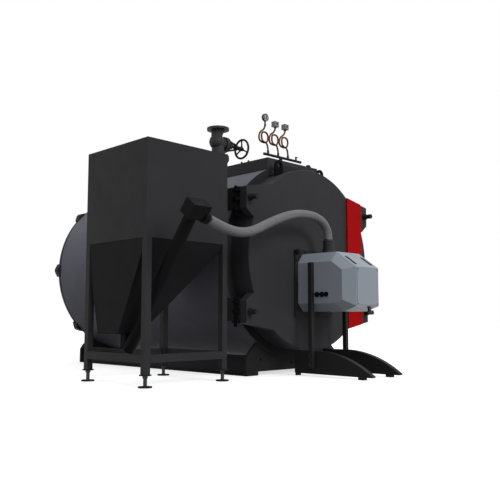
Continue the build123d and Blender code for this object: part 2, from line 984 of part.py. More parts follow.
# Hinge arms on the rear of the door's left ears
with BuildPart() as hinge_arms:
    for height in hinge_heights:
        with BuildSketch(plan(height - hinge_arm_thickness / 2)):
            with Locations((hinge_x, hinge_y)):
                Circle(hinge_lug_radius)
            with Locations((hinge_arm_width / 2 - ear_half_width, door_thickness + hinge_arm_foot / 2)):
                Rectangle(hinge_arm_width, hinge_arm_foot)
            make_hull()
            with Locations((hinge_x, hinge_y)):
                Circle(hinge_pin_radius + seat_gap, mode=Mode.SUBTRACT)
        extrude(amount=hinge_arm_thickness)

finish(hinge_arms.part, "hinge_arms")

# Red panel on the right of the door, its ends along the ears' edges
side_panel_right = ear_half_width - side_panel_inset
side_panel_left = side_panel_right - side_panel_width
ear_slope = (ear_inner_rise - ear_high) / (ear_half_width - ear_inner)
panel_left_rise = ear_inner_rise - ear_slope * (side_panel_left - ear_inner) - side_panel_margin
panel_right_rise = ear_inner_rise - ear_slope * (side_panel_right - ear_inner) - side_panel_margin

with BuildPart() as red_side_panel:
    with BuildSketch(elevation(0, 0, drum_height)) as panel_face:
        with BuildLine():
            Polyline(
                (side_panel_left, -panel_left_rise),
                (side_panel_right, -panel_right_rise),
                (side_panel_right, panel_right_rise),
                (side_panel_left, panel_left_rise),
                close=True,
            )
        make_face()
        fillet(panel_face.vertices().sort_by(Axis.X)[-2:], radius=side_panel_corner)
    extrude(amount=side_panel_thickness)

finish(red_side_panel.part, "red_side_panel")

# Burner mounting plate
with BuildPart() as burner_mounting_plate:
    with BuildSketch(elevation(0, 0, furnace_height)):
        Rectangle(2 * mounting_half_width, 2 * mounting_half_height)
    extrude(amount=mounting_thickness)

finish(burner_mounting_plate.part, "burner_mounting_plate")

# Burner cover: a tall middle body between two lower sides, joined by sloped faces
cover_rear = -mounting_thickness
core_outline = (
    (cover_rear, cover_core_rise),
    (-cover_core_brow, cover_core_rise),
    (-cover_core_front, cover_core_brow_rise),
    (-cover_core_front, -cover_core_chin_drop),
    (-cover_core_chin, -cover_core_drop),
    (cover_rear, -cover_core_drop),
)
brow_fall = cover_core_rise - cover_core_brow_rise
brow_run = cover_core_front - cover_core_brow
chin_slope = (cover_core_drop - cover_core_chin_drop) / (cover_core_front - cover_core_chin)
side_front_rise = cover_side_rise - brow_fall / brow_run * (cover_side_front - cover_side_brow)
side_outline = (
    (cover_rear, cover_side_rise),
    (-cover_side_brow, cover_side_rise),
    (-cover_side_front, side_front_rise),
    (-cover_side_front, chin_slope * (cover_side_front - cover_side_chin) - cover_side_drop),
    (-cover_side_chin, -cover_side_drop),
    (cover_rear, -cover_side_drop),
)
panel_height = cover_core_brow_rise + cover_core_chin_drop - 2 * cover_panel_margin
panel_middle = furnace_height + (cover_core_brow_rise - cover_core_chin_drop) / 2
vent_y = -(cover_core_brow + vent_place_share * brow_run)
vent_height = furnace_height + cover_core_rise - vent_place_share * brow_fall

vent_place = at(0, vent_y, vent_height)

with BuildPart() as burner_cover:
    with BuildSketch(profile(-cover_half_core, 0, furnace_height)):
        with BuildLine():
            Polyline(*core_outline, close=True)
        make_face()
    extrude(amount=2 * cover_half_core)
    for side in (-1, 1):
        with BuildSketch(profile(side * cover_half_core, 0, furnace_height)):
            with BuildLine():
                Polyline(*core_outline, close=True)
            make_face()
        with BuildSketch(profile(side * cover_half_width, 0, furnace_height)):
            with BuildLine():
                Polyline(*side_outline, close=True)
            make_face()
        loft(ruled=True)
    with BuildSketch(elevation(-cover_core_front, 0, panel_middle)):
        Rectangle(2 * (cover_half_core - cover_panel_margin), panel_height)
    extrude(amount=cover_panel_thickness)
    with BuildSketch(Plane(origin=vent_place, x_dir=(1, 0, 0), z_dir=(0, -brow_fall, brow_run))):
        with Locations((-vent_spread, 0), (vent_spread, 0)):
            SlotOverall(vent_length, vent_width, rotation=90)
    extrude(amount=-vent_depth, mode=Mode.SUBTRACT)

finish(burner_cover.part, "burner_cover")

with BuildPart() as burner_tube:
    with BuildSketch(elevation(0, 0, furnace_height)):
        Circle(burner_tube_radius)
        Circle(burner_tube_radius - burner_tube_wall, mode=Mode.SUBTRACT)
    extrude(amount=-burner_tube_end)

finish(burner_tube.part, "burner_tube")

# Burner stand: two legs against the cover's sides and a ski inside each
with BuildPart() as burner_legs:
    for side in (-1, 1):
        with BuildSketch(plan(leg_bottom, side * (cover_half_width + leg_size / 2), -leg_place)):
            Rectangle(leg_size, leg_size)
        extrude(amount=furnace_height + leg_rise - leg_bottom)

finish(burner_legs.part, "burner_legs")

with BuildPart() as burner_skis:
    for inner in (-cover_half_width, ski_inner):
        with BuildSketch(profile(inner)):
            with BuildLine():
                Polyline(
                    (-ski_tip, ski_tip_height),
                    (-ski_tip, ski_bottom),
                    (ski_rear, ski_bottom),
                    (ski_rear, ski_top),
                    (-ski_flat_end, ski_top),
                )
                ThreePointArc((-ski_flat_end, ski_top), ski_bow, (-ski_tip, ski_tip_height))
            make_face()
        extrude(amount=cover_half_width - ski_inner)
        for rear, front in pad_spans:
            with BuildSketch(plan(0, inner + (cover_half_width - ski_inner) / 2, (rear + front) / 2)):
                Rectangle(cover_half_width - ski_inner, rear - front)
            extrude(amount=ski_bottom)

finish(burner_skis.part, "burner_skis")

# Hose socket on the burner cover: a step, a neck and its ribs
cover_top = furnace_height + cover_core_rise
socket_top = cover_top + socket_height
rib_pitch = (socket_height - socket_step_height) / socket_rib_count

with BuildPart() as hose_socket:
    with BuildSketch(plan(cover_top, 0, -socket_place)):
        Circle(socket_lip_radius)
    extrude(amount=socket_step_height)
    with BuildSketch(plan(cover_top, 0, -socket_place)):
        Circle(socket_radius)
    extrude(amount=socket_height)
    for k in range(socket_rib_count):
        with BuildSketch(plan(socket_top - k * rib_pitch, 0, -socket_place)):
            Circle(socket_rib_radius)
        extrude(amount=-socket_rib_height)

finish(hose_socket.part, "hose_socket")

# Feed hose from the auger's spout to the socket
hose_start = (auger_x + spout_shift, spout_y, spout_height)
hose_end = (0, -socket_place, socket_top)
hose_points = [at(*hose_start)]
for share, (y, rise) in zip(hose_route_share, hose_route_offsets):
    x = hose_start[0] + share * (hose_end[0] - hose_start[0])
    z = hose_start[2] + share * (hose_end[2] - hose_start[2])
    hose_points.append(at(x, y, z + rise))
hose_points.append(at(*hose_end))
hose_radii = bend_radii(hose_points, hose_bend_share)
print("hose radii", [round(radius) for radius in hose_radii])

with BuildPart() as feed_hose:
    with BuildLine() as hose_path:
        FilletPolyline(*hose_points, radius=hose_radii)
    hose_wire = hose_path.wires()[0]
    with BuildSketch(Plane(origin=hose_wire @ 0, z_dir=hose_wire % 0)):
        Circle(hose_radius)
    sweep(path=hose_wire)

tube_volume = hose_wire.length * pi * hose_radius**2
print("hose length", round(hose_wire.length), "volume ratio", feed_hose.part.volume / tube_volume)
finish(feed_hose.part, "feed_hose")

# Hopper bin, its lid and the funnel under it
bin_middle_x = (bin_left + bin_right) / 2
bin_middle_y = (bin_front + bin_rear) / 2
bin_length = bin_rear - bin_front

with BuildPart() as hopper_bin:
    with BuildSketch(plan(bin_bottom, bin_middle_x, bin_middle_y)):
        Rectangle(bin_width, bin_length)
        Rectangle(bin_width - 2 * bin_wall, bin_length - 2 * bin_wall, mode=Mode.SUBTRACT)
    extrude(amount=bin_top - lid_thickness - bin_bottom)

finish(hopper_bin.part, "hopper_bin")

with BuildPart() as hopper_lid:
    with BuildSketch(plan(bin_top - lid_thickness, bin_middle_x, bin_middle_y)):
        Rectangle(bin_width, bin_length)
    extrude(amount=lid_thickness)

finish(hopper_lid.part, "hopper_lid")

outlet_middle_x = bin_left + outlet_inset + outlet_width / 2
outlet_middle_y = (outlet_front + outlet_rear) / 2
outlet_length = outlet_rear - outlet_front

leg_middle_left = bin_left + leg_tube / 2
leg_middle_right = bin_right - leg_tube / 2
leg_middle_front = bin_front + leg_tube / 2
leg_middle_rear = bin_rear - leg_tube / 2
leg_places = [
    (x, y) for x in (leg_middle_left, leg_middle_right) for y in (leg_middle_front, leg_middle_rear)
]

with BuildPart() as hopper_funnel:
    with BuildSketch(plan(bin_bottom, bin_middle_x, bin_middle_y)):
        Rectangle(bin_width, bin_length)
    with BuildSketch(plan(outlet_height, outlet_middle_x, outlet_middle_y)):
        Rectangle(outlet_width, outlet_length)
    loft(ruled=True)
    with BuildSketch(plan(bin_bottom, bin_middle_x, bin_middle_y)):
        Rectangle(bin_width - 2 * bin_wall, bin_length - 2 * bin_wall)
    with BuildSketch(plan(outlet_height, outlet_middle_x, outlet_middle_y)):
        Rectangle(outlet_width - 2 * bin_wall, outlet_length - 2 * bin_wall)
    loft(ruled=True, mode=Mode.SUBTRACT)
    with BuildSketch(plan(bin_bottom)):
        with Locations(*leg_places):
            Rectangle(leg_tube, leg_tube)
    extrude(amount=-(bin_bottom - outlet_height), mode=Mode.SUBTRACT)

finish(hopper_funnel.part, "hopper_funnel")

# Hopper legs under the bin's corners, and the beams between them
with BuildPart() as hopper_legs:
    with BuildSketch(plan(leg_foot_height)):
        with Locations(*leg_places):
            Rectangle(leg_tube, leg_tube)
    extrude(amount=bin_bottom - leg_foot_height)

finish(hopper_legs.part, "hopper_legs")

with BuildPart() as hopper_beams:
    with BuildSketch(plan(beam_bottom)):
        with Locations((bin_middle_x, bin_middle_y)):
            Rectangle(bin_width, bin_length)
            Rectangle(bin_width - 2 * beam_thickness, bin_length - 2 * beam_thickness, mode=Mode.SUBTRACT)
        with Locations(*leg_places):
            Rectangle(leg_tube, leg_tube, mode=Mode.SUBTRACT)
    extrude(amount=beam_height)

finish(hopper_beams.part, "hopper_beams")

with BuildPart() as hopper_feet:
    for x, y in leg_places:
        with BuildSketch(plan(0, x, y)):
            Circle(foot_radius)
        extrude(amount=foot_thickness)
        with BuildSketch(plan(0, x, y)):
            Circle(foot_rod_radius)
        extrude(amount=leg_foot_height)
        with BuildSketch(plan(leg_foot_height - foot_plate_thickness, x, y)):
            Circle(foot_plate_radius)
        extrude(amount=foot_plate_thickness)

finish(hopper_feet.part, "hopper_feet")

# Auger box under the funnel
with BuildPart() as auger_box:
    with BuildSketch(plan(auger_box_bottom, outlet_middle_x, outlet_middle_y)):
        Rectangle(outlet_width, outlet_length)
    extrude(amount=outlet_height - auger_box_bottom)

finish(auger_box.part, "auger_box")

# Auger tube from the box up to its head, which carries the spout
auger_high = (spout_y - head_shift, spout_height + head_rise)
auger_run = (auger_high[0] - auger_low[0], auger_high[1] - auger_low[1])
auger_length = hypot(*auger_run)
auger_direction = (0, auger_run[0] / auger_length, auger_run[1] / auger_length)


def auger_plane(distance):
    """A plane across the auger, at a distance from its low end."""
    y = auger_low[0] + distance * auger_direction[1]
    z = auger_low[1] + distance * auger_direction[2]
    return Plane(origin=at(auger_x, y, z), x_dir=(1, 0, 0), z_dir=auger_direction)


with BuildPart() as auger_tube:
    with BuildSketch(auger_plane(0)):
        Rectangle(auger_size, auger_size)
        Rectangle(auger_size - 2 * auger_wall, auger_size - 2 * auger_wall, mode=Mode.SUBTRACT)
    extrude(amount=auger_length - head_length / 2)
    with BuildSketch(plan(auger_box_bottom - auger_size, outlet_middle_x, outlet_middle_y)):
        Rectangle(outlet_width, outlet_length)
    extrude(amount=outlet_height - auger_box_bottom + 2 * auger_size, mode=Mode.SUBTRACT)

finish(auger_tube.part, "auger_tube")

with BuildPart() as auger_head:
    with BuildSketch(auger_plane(auger_length - head_length / 2)):
        Rectangle(head_width, head_depth)
    extrude(amount=head_length)
    with BuildSketch(Plane(origin=hose_wire @ 0, z_dir=hose_wire % 0)):
        Circle(spout_radius)
    extrude(amount=-spout_length)

finish(auger_head.part, "auger_head")
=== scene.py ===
# %% [markdown]
# # A fire-tube boiler with a pellet burner and its hopper
#
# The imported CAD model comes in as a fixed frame. This script gives it its finishes, its fasteners and small
# fittings, the feed hose, the light and the camera. The frame's lengths are in metres. Places on the boiler
# are measured as in the CAD: from the drum's axis in X, from the door's front face in Y and from the floor
# in Z.

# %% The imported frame
import math

import bmesh
import bpy
from mathutils import Matrix, Vector


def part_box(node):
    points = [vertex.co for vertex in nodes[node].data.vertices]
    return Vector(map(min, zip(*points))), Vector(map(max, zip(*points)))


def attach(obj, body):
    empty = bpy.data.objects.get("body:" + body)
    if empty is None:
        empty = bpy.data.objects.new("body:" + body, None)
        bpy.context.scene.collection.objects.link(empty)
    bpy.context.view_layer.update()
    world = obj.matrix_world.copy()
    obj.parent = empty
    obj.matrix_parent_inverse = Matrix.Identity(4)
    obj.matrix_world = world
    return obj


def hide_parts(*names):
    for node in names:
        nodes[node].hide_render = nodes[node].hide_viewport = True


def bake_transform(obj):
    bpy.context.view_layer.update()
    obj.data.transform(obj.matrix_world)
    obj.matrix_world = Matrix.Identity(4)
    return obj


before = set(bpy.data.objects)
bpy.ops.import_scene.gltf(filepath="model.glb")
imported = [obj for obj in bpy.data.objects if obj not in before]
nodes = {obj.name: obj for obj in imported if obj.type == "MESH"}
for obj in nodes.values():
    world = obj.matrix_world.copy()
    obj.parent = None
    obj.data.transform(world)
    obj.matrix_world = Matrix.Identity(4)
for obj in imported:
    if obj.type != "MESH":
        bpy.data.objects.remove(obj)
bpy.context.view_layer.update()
print("the frame brings", len(nodes), "pieces")

# %% [markdown]
# ## Reference places
#
# A boiler maker's drawing measures from the drum's axis, from its front and from the floor. Plain
# coordinates would work too, but a change in the CAD would leave every fitting behind. So the axis and the
# front are read from the boxes of the cladding and the door, and `at` places each fitting in the drawing's
# millimetres.

# %% Drum's axis and door's face
MM = 0.001
casing_low, casing_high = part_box("boiler_casing")
AXIS_X = (casing_low[0] + casing_high[0]) / 2
AXIS_Z = (casing_low[2] + casing_high[2]) / 2
DOOR_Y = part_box("front_door")[0][1]


def place(x, y, z):
    """A point measured from the drum's axis, the door's front face and the floor."""
    return Vector((AXIS_X + x, DOOR_Y + y, z))


def at(x, y, z):
    """The same place from millimetres."""
    return place(x * MM, y * MM, z * MM)


print("drum's axis at x", round(AXIS_X, 3), "z", round(AXIS_Z, 3), "and door's face at y", round(DOOR_Y, 3))

# %% [markdown]
# ## Camera
#
# The photo was taken near the floor, off the boiler's front left corner, with the camera tilted up a
# little. A camera can be moved by eye until the picture fits, but then no fitting can be judged by its
# place. So these values were solved from straight edges and circles in the photo.

# %% Camera of the photo
CAMERA_PLACE = (-6.448, -5.330, 0.679)
CAMERA_YAW = 45.166
CAMERA_PITCH = 5.624
CAMERA_LENS = 49.13
CAMERA_SENSOR = 36

camera_data = bpy.data.cameras.new("camera")
camera_data.lens = CAMERA_LENS
camera_data.sensor_width = CAMERA_SENSOR
camera = bpy.data.objects.new("camera", camera_data)
camera.location = place(*CAMERA_PLACE)
camera.rotation_euler = (math.radians(90 + CAMERA_PITCH), 0, -math.radians(CAMERA_YAW))
bpy.context.scene.collection.objects.link(camera)
bpy.context.scene.camera = camera
print("camera", round(camera.location.z, 3), "m above the floor with a lens of", CAMERA_LENS, "mm")

# %% [markdown]
# ## Noise, tint and bump
#
# No painted or rolled steel has one colour and one shine. A picture of a surface could show that, but it
# would have to be laid out on every piece, while noise over the object's own coordinates fits any shape. So
# each finish is a small node tree. `noise` gives a value and `spread` its range, `vary` tints the colour
# with it, `dull` sets the roughness and `bump` raises a grain.

# %% Noise and its range
NOISE_RANGE = (0.3, 0.7)


def new_material(name):
    """A material with its node tree and its Principled shader."""
    material = bpy.data.materials.new(name)
    material.use_nodes = True
    tree = material.node_tree
    return material, tree, tree.nodes["Principled BSDF"]


def noise(tree, scale, detail, stretch=(1, 1, 1)):
    """A noise value over the object's own coordinates."""
    coordinates = tree.nodes.new("ShaderNodeTexCoord")
    mapping = tree.nodes.new("ShaderNodeMapping")
    mapping.inputs["Scale"].default_value = stretch
    texture = tree.nodes.new("ShaderNodeTexNoise")
    texture.inputs["Scale"].default_value = scale
    texture.inputs["Detail"].default_value = detail
    tree.links.new(coordinates.outputs["Object"], mapping.inputs["Vector"])
    tree.links.new(mapping.outputs["Vector"], texture.inputs["Vector"])
    return texture.outputs["Fac"]


def spread(tree, value, low, high):
    """Maps a value from the range where noise mostly lies to low..high."""
    node = tree.nodes.new("ShaderNodeMapRange")
    node.inputs["From Min"].default_value, node.inputs["From Max"].default_value = NOISE_RANGE
    node.inputs["To Min"].default_value = low
    node.inputs["To Max"].default_value = high
    tree.links.new(value, node.inputs["Value"])
    return node.outputs["Result"]


print("noise is used from", *NOISE_RANGE)


# %% Tint, roughness and relief
def vary(tree, shader, colour, factor, amount):
    """Base colour that goes amount darker and lighter with factor."""
    node = tree.nodes.new("ShaderNodeMix")
    node.data_type = "RGBA"
    node.inputs["A"].default_value = (*[c * (1 - amount) for c in colour], 1)
    node.inputs["B"].default_value = (*[c * (1 + amount) for c in colour], 1)
    tree.links.new(factor, node.inputs["Factor"])
    tree.links.new(node.outputs["Result"], shader.inputs["Base Color"])


def dull(tree, shader, value, low, high):
    """Roughness that goes from low to high with a value."""
    tree.links.new(spread(tree, value, low, high), shader.inputs["Roughness"])


def bump(tree, shader, value, distance):
    """Relief from a value, this many metres high."""
    node = tree.nodes.new("ShaderNodeBump")
    node.inputs["Distance"].default_value = distance
    tree.links.new(value, node.inputs["Height"])
    tree.links.new(node.outputs["Normal"], shader.inputs["Normal"])


print("a value can drive", ", ".join(helper.__name__ for helper in (vary, dull, bump)))

# %% [markdown]
# ## Sprayed paint
#
# Nearly all of the plant is sprayed steel: grey cladding, a dark door and hopper, a silver burner and a red
# strip. One plain shader for each would look like plastic. The spray leaves large faint patches and a fine
# peel, so one function makes every paint, and each gets only its colour, its roughness and its shine.
# Colours are written as linear values.

# %% Paints
def paint(name, colour, roughness, amount=0.08, shine=0.06):
    """Sprayed paint on steel: large faint patches, and the fine peel of the spray."""
    material, tree, shader = new_material(name)
    shader.inputs["Specular IOR Level"].default_value = shine
    vary(tree, shader, colour, spread(tree, noise(tree, scale=1.6, detail=4), 0, 1), amount)
    dull(tree, shader, noise(tree, scale=7, detail=5), roughness - 0.06, roughness + 0.06)
    bump(tree, shader, noise(tree, scale=160, detail=2), 0.00012)
    return material


FINISH = {
    "cladding": paint("cladding_paint", (0.118, 0.1165, 0.143), 0.5, shine=0.02),
    "door": paint("door_paint", (0.0285, 0.0285, 0.0310), 0.5),
    "dark": paint("dark_paint", (0.0175, 0.0175, 0.0185), 0.5),
    "base": paint("base_paint", (0.0150, 0.0150, 0.0157), 0.5),
    "hopper": paint("hopper_paint", (0.0258, 0.0258, 0.0278), 0.5),
    "funnel": paint("funnel_paint", (0.0152, 0.0152, 0.0166), 0.5, shine=0.02),
    "auger": paint("auger_paint", (0.0060, 0.0060, 0.0060), 0.52, shine=0.03),
    # near-black: the cable glands' own black, and painted shade on the hinges and lifting lugs
    "black": paint("black_and_shade_paint", (0.0040, 0.0040, 0.0040), 0.6, shine=0.02),
    "burner": paint("burner_paint", (0.235, 0.262, 0.300), 0.34, amount=0.04, shine=0.15),
    "red": paint("red_paint", (0.32, 0.003, 0.004), 0.45, amount=0.05, shine=0.02),
    "grille": paint("grille_grey", (0.026, 0.029, 0.032), 0.6),
    "dial": paint("dial_grey", (0.17, 0.17, 0.175), 0.5, amount=0.02),
    "print": paint("dial_print", (0.008, 0.008, 0.008), 0.6),
}
print("paints:", *FINISH)

# %% [markdown]
# ## Boiler plate, refractory and rope
#
# These three show when the door is open. The tube plate is bare rolled steel with mill scale, the door's
# lining is cast refractory, and a braided rope seals the door. The steel and the lining differ from paint
# only in metal, size of blotch and depth of grain, so they use the same helpers. The rope's strands need a
# wave, which a noise can't draw.

# %% Finishes of the boiler's inside
def plate_steel(name, colour, roughness=0.5):
    """Bare boiler plate with mill scale in soft blotches."""
    material, tree, shader = new_material(name)
    blotches = noise(tree, scale=9, detail=8)
    vary(tree, shader, colour, spread(tree, blotches, 0, 1), 0.45)
    dull(tree, shader, blotches, roughness + 0.12, roughness - 0.1)
    bump(tree, shader, noise(tree, scale=60, detail=4), 0.0004)
    shader.inputs["Metallic"].default_value = 0.85
    return material


def castable(name, colour):
    """Cast refractory: pale, matt and grainy."""
    material, tree, shader = new_material(name)
    vary(tree, shader, colour, spread(tree, noise(tree, scale=25, detail=8), 0, 1), 0.18)
    shader.inputs["Roughness"].default_value = 0.95
    bump(tree, shader, noise(tree, scale=90, detail=6), 0.0015)
    return material


def rope(name, colour):
    """Braided fibre rope: slanting strands, loose and matt."""
    material, tree, shader = new_material(name)
    strands = tree.nodes.new("ShaderNodeTexWave")
    strands.wave_type = "BANDS"
    strands.bands_direction = "DIAGONAL"
    strands.inputs["Scale"].default_value = 60
    strands.inputs["Distortion"].default_value = 2
    vary(tree, shader, colour, strands.outputs["Fac"], 0.3)
    shader.inputs["Roughness"].default_value = 0.95
    bump(tree, shader, strands.outputs["Fac"], 0.001)
    return material


FINISH["steel"] = plate_steel("boiler_plate", (0.20, 0.185, 0.17))
FINISH["lining"] = castable("lining_castable", (0.42, 0.38, 0.32))
FINISH["rope"] = rope("seal_rope", (0.30, 0.29, 0.26))
print("inside:", FINISH["steel"].name, FINISH["lining"].name, FINISH["rope"].name)

# %% [markdown]
# ## Copper tube, fasteners and castings
#
# The siphons are copper that heat has stained, and the bolts are blackened steel with the lines of the
# lathe. The valve is painted iron that keeps the grain of its sand mould. Fine lines could be a brushed
# bump picture, but noise that is stretched along the piece draws them at any size.

# %% Metals
SOFT_SHINE = 0.15
ALONG_TUBE = (1, 1, 0.1)


def drawn_metal(name, colour, roughness, amount=0.2):
    """Drawn tube or turned metal with fine lines along it, and stains that amount darkens."""
    material, tree, shader = new_material(name)
    vary(tree, shader, colour, spread(tree, noise(tree, scale=30, detail=4), 0, 1), amount)
    dull(tree, shader, noise(tree, 80, 3, ALONG_TUBE), roughness - 0.08, roughness + 0.1)
    bump(tree, shader, noise(tree, 300, 2, ALONG_TUBE), 0.00005)
    shader.inputs["Metallic"].default_value = 1.0
    return material


def casting(name, colour):
    """Painted casting with the grain of the sand mould."""
    material, tree, shader = new_material(name)
    vary(tree, shader, colour, spread(tree, noise(tree, scale=12, detail=5), 0, 1), 0.15)
    dull(tree, shader, noise(tree, scale=40, detail=4), 0.42, 0.6)
    shader.inputs["Specular IOR Level"].default_value = SOFT_SHINE
    bump(tree, shader, noise(tree, scale=220, detail=5), 0.0006)
    return material


FINISH["copper"] = drawn_metal("copper_tube", (0.088, 0.037, 0.0108), 0.5, amount=0.5)
FINISH["fastener"] = drawn_metal("black_fasteners", (0.038, 0.038, 0.040), 0.42)
FINISH["valve"] = casting("valve_casting", (0.030, 0.030, 0.031))
print("metals:", FINISH["copper"].name, FINISH["fastener"].name, FINISH["valve"].name)

# %% [markdown]
# ## Hose, plastics and glass
#
# The hose and the cases of the gauge and switches are moulded, so they have a soft shine and hardly any
# grain. Rubber could be done with subsurface light, but grey and black rubber lets none through, so a low
# shine is enough. The gauge's glass is flat and clear, and only an uneven roughness shows that it is there.

# %% Moulded finishes and the glass
def rubber(name, colour, roughness):
    """Flexible hose or moulded plastic, slightly soft in its shine."""
    material, tree, shader = new_material(name)
    vary(tree, shader, colour, spread(tree, noise(tree, scale=18, detail=4), 0, 1), 0.07)
    dull(tree, shader, noise(tree, scale=35, detail=3), roughness - 0.05, roughness + 0.08)
    shader.inputs["Specular IOR Level"].default_value = SOFT_SHINE
    bump(tree, shader, noise(tree, scale=400, detail=2), 0.00008)
    return material


def glass(name):
    """Thin flat glass with a very slight unevenness."""
    material, tree, shader = new_material(name)
    shader.inputs["Base Color"].default_value = (0.97, 0.98, 0.98, 1)
    shader.inputs["Transmission Weight"].default_value = 1
    shader.inputs["IOR"].default_value = 1.45
    dull(tree, shader, noise(tree, scale=40, detail=3), 0.02, 0.05)
    return material


FINISH["instrument"] = rubber("instrument_black", (0.022, 0.022, 0.024), 0.38)
FINISH["switch"] = rubber("switch_grey", (0.20, 0.20, 0.22), 0.4)
FINISH["hose"] = rubber("hose_grey", (0.124, 0.124, 0.129), 0.42)
FINISH["socket"] = rubber("socket_dark", (0.020, 0.020, 0.021), 0.5)
FINISH["glass"] = glass("gauge_glass")
print("all finishes:", len(FINISH))

# %% [markdown]
# ## Finishes on the CAD pieces
#
# Each piece of the plant has one finish, as it left the paint shop, except the hinges and lifting lugs,
# whose near-black paints the shade on them. A material could be set on each piece in its own cell, but
# the pieces of one colour belong together, so a table lists them by finish. The nodes that this script
# replaces further down need none.

# %% Which piece has which finish
NODE_FINISH = {
    "cladding": ["boiler_casing"],
    "door": ["front_smokebox", "front_door", "roof_deck"],
    "dark": ["rear_cover", "rear_clamps", "flue_outlet", "deck_bearers", "steam_nozzle", "gauge_manifold",
             "burner_mounting_plate", "burner_legs", "door_clamps", "valve_bonnet"],
    "base": ["front_saddle", "rear_saddle", "skid_beams", "burner_skis", "hopper_feet"],
    "hopper": ["hopper_bin", "hopper_lid", "hopper_legs", "hopper_beams"],
    "funnel": ["hopper_funnel"],
    "auger": ["auger_head"],
    # the hinges and lifting lugs get the near-black as painted shade, in place of their own lit paint
    "black": ["hinge_arms", "hinge_brackets", "lifting_lugs"],
    "burner": ["burner_cover"],
    "red": ["red_side_panel"],
    "valve": ["stop_valve_body"],
    "steel": ["front_tube_plate", "rear_tube_plate", "smoke_tubes", "furnace_tube", "burner_tube"],
    "lining": ["door_lining"],
    "instrument": ["pressure_gauge"],
    "switch": ["pressure_switches"],
    "socket": ["hose_socket"],
}


def give_finish(piece, finish):
    """Puts one finish on a piece."""
    piece.data.materials.clear()
    piece.data.materials.append(FINISH[finish])


for finish, names in NODE_FINISH.items():
    for name in names:
        give_finish(nodes[name], finish)
print("finishes given to", sum(len(names) for names in NODE_FINISH.values()), "pieces")

# %% [markdown]
# ## Edges of the CAD pieces
#
# Folded sheet has a round edge and cut plate is deburred, so both catch a line of light. The fillets could
# be cut in the CAD, but they would make its solids heavy. A bevel modifier does it here, with a width for
# each kind of plate, and round faces are shaded smooth.

# %% Edge widths
EDGE_PIECES = {
    0.006: ["burner_cover"],
    0.005: ["hopper_legs", "burner_legs"],
    0.004: ["front_door", "auger_head", "hinge_arms", "hinge_brackets", "rear_clamps", "pressure_switches"],
    0.003: ["hopper_bin", "hopper_lid", "hopper_beams", "burner_skis", "valve_bonnet", "pressure_gauge",
            "lifting_lugs", "door_clamps", "hose_socket", "steam_nozzle"],
    0.002: ["front_saddle", "rear_saddle", "skid_beams", "roof_deck", "red_side_panel",
            "burner_mounting_plate"],
}
EDGE_WIDTH = {name: width for width, names in EDGE_PIECES.items() for name in names}
SMOOTH_ANGLE = math.radians(32)


def soften(piece, width):
    """Smooth shading on round faces, and a narrow bevel on sharp edges."""
    piece.data.shade_smooth()
    if width:
        bevel = piece.modifiers.new("edges", "BEVEL")
        bevel.width = width
        bevel.segments = 2
        bevel.limit_method = "ANGLE"
        bevel.angle_limit = SMOOTH_ANGLE
        bevel.harden_normals = True
        bevel.use_clamp_overlap = True


for name, node in nodes.items():
    soften(node, EDGE_WIDTH.get(name, 0))
print("bevels on", len(EDGE_WIDTH), "of", len(nodes), "pieces")

# %% [markdown]
# ## Feed hose: its route
#
# The hose carries pellets from the auger's head to the burner. It rises over a hump and drops into the
# socket. A simulation could let it sag, but the photo shows its real line, so the points repeat the route
# of the CAD and a spline runs smoothly between them.

# %% Centre line of the hose
HOSE_ROUTE = [
    (-2128, -452, 1622), (-2005, -443, 1590), (-1850, -428, 1550), (-1640, -405, 1533), (-1430, -382, 1569),
    (-1215, -359, 1660), (-990, -335, 1748), (-770, -311, 1818), (-575, -291, 1854), (-400, -276, 1864),
    (-245, -262, 1853), (-122, -253, 1815), (-42, -247, 1752), (0, -246, 1672), (0, -246, 1590),
]


def route_spline(points):
    """The smooth centre line of the route, as points close together."""
    data = bpy.data.curves.new("route", "CURVE")
    data.dimensions = "3D"
    data.resolution_u = 12
    spline = data.splines.new("NURBS")
    spline.points.add(len(points) - 1)
    for control, point in zip(spline.points, points):
        control.co = (*point, 1)
    spline.order_u = 3
    spline.use_endpoint_u = True
    piece = bpy.data.objects.new("route", data)
    mesh = bpy.data.meshes.new_from_object(piece)
    line = [v.co.copy() for v in mesh.vertices]
    bpy.data.objects.remove(piece)
    return line


hose_line = route_spline([at(*p) for p in HOSE_ROUTE])
drawn = sum((second - first).length for first, second in zip(hose_line, hose_line[1:]))
print("the hose's centre line measures", round(drawn, 2), "m over", len(hose_line), "points")

# %% [markdown]
# ## Feed hose: its skin
#
# The hose bends when the door opens, so its skin needs rings close together, and it can't be the CAD's
# rigid solid. A curve with a bevel depth would give a tube too, but without these rings in a known order.
# So rings are laid along the line, and each is turned as little as possible from the one before, which
# keeps the skin from twisting. The siphons are drawn the same way further down.

# %% A tube along a line
def frames_along(line):
    """A plane across the line at each of its points, turned as little as possible from one to the next."""
    side = Vector((0, 1, 0))
    frames = []
    for k, point in enumerate(line):
        ahead = (line[min(k + 1, len(line) - 1)] - line[max(k - 1, 0)]).normalized()
        side = (side - ahead * side.dot(ahead)).normalized()
        frames.append((point, side.copy(), ahead.cross(side)))
    return frames


def join_rings(work, rings, hollow=False):
    """Faces from ring to ring, then a cap on each end, or faces from the last ring back to the first."""
    pairs = list(zip(rings, rings[1:])) + ([(rings[-1], rings[0])] if hollow else [])
    for first, second in pairs:
        for k, corner in enumerate(first):
            after = (k + 1) % len(first)
            work.faces.new((corner, first[after], second[after], second[k]))
    if not hollow:
        work.faces.new(rings[0][::-1])
        work.faces.new(rings[-1])


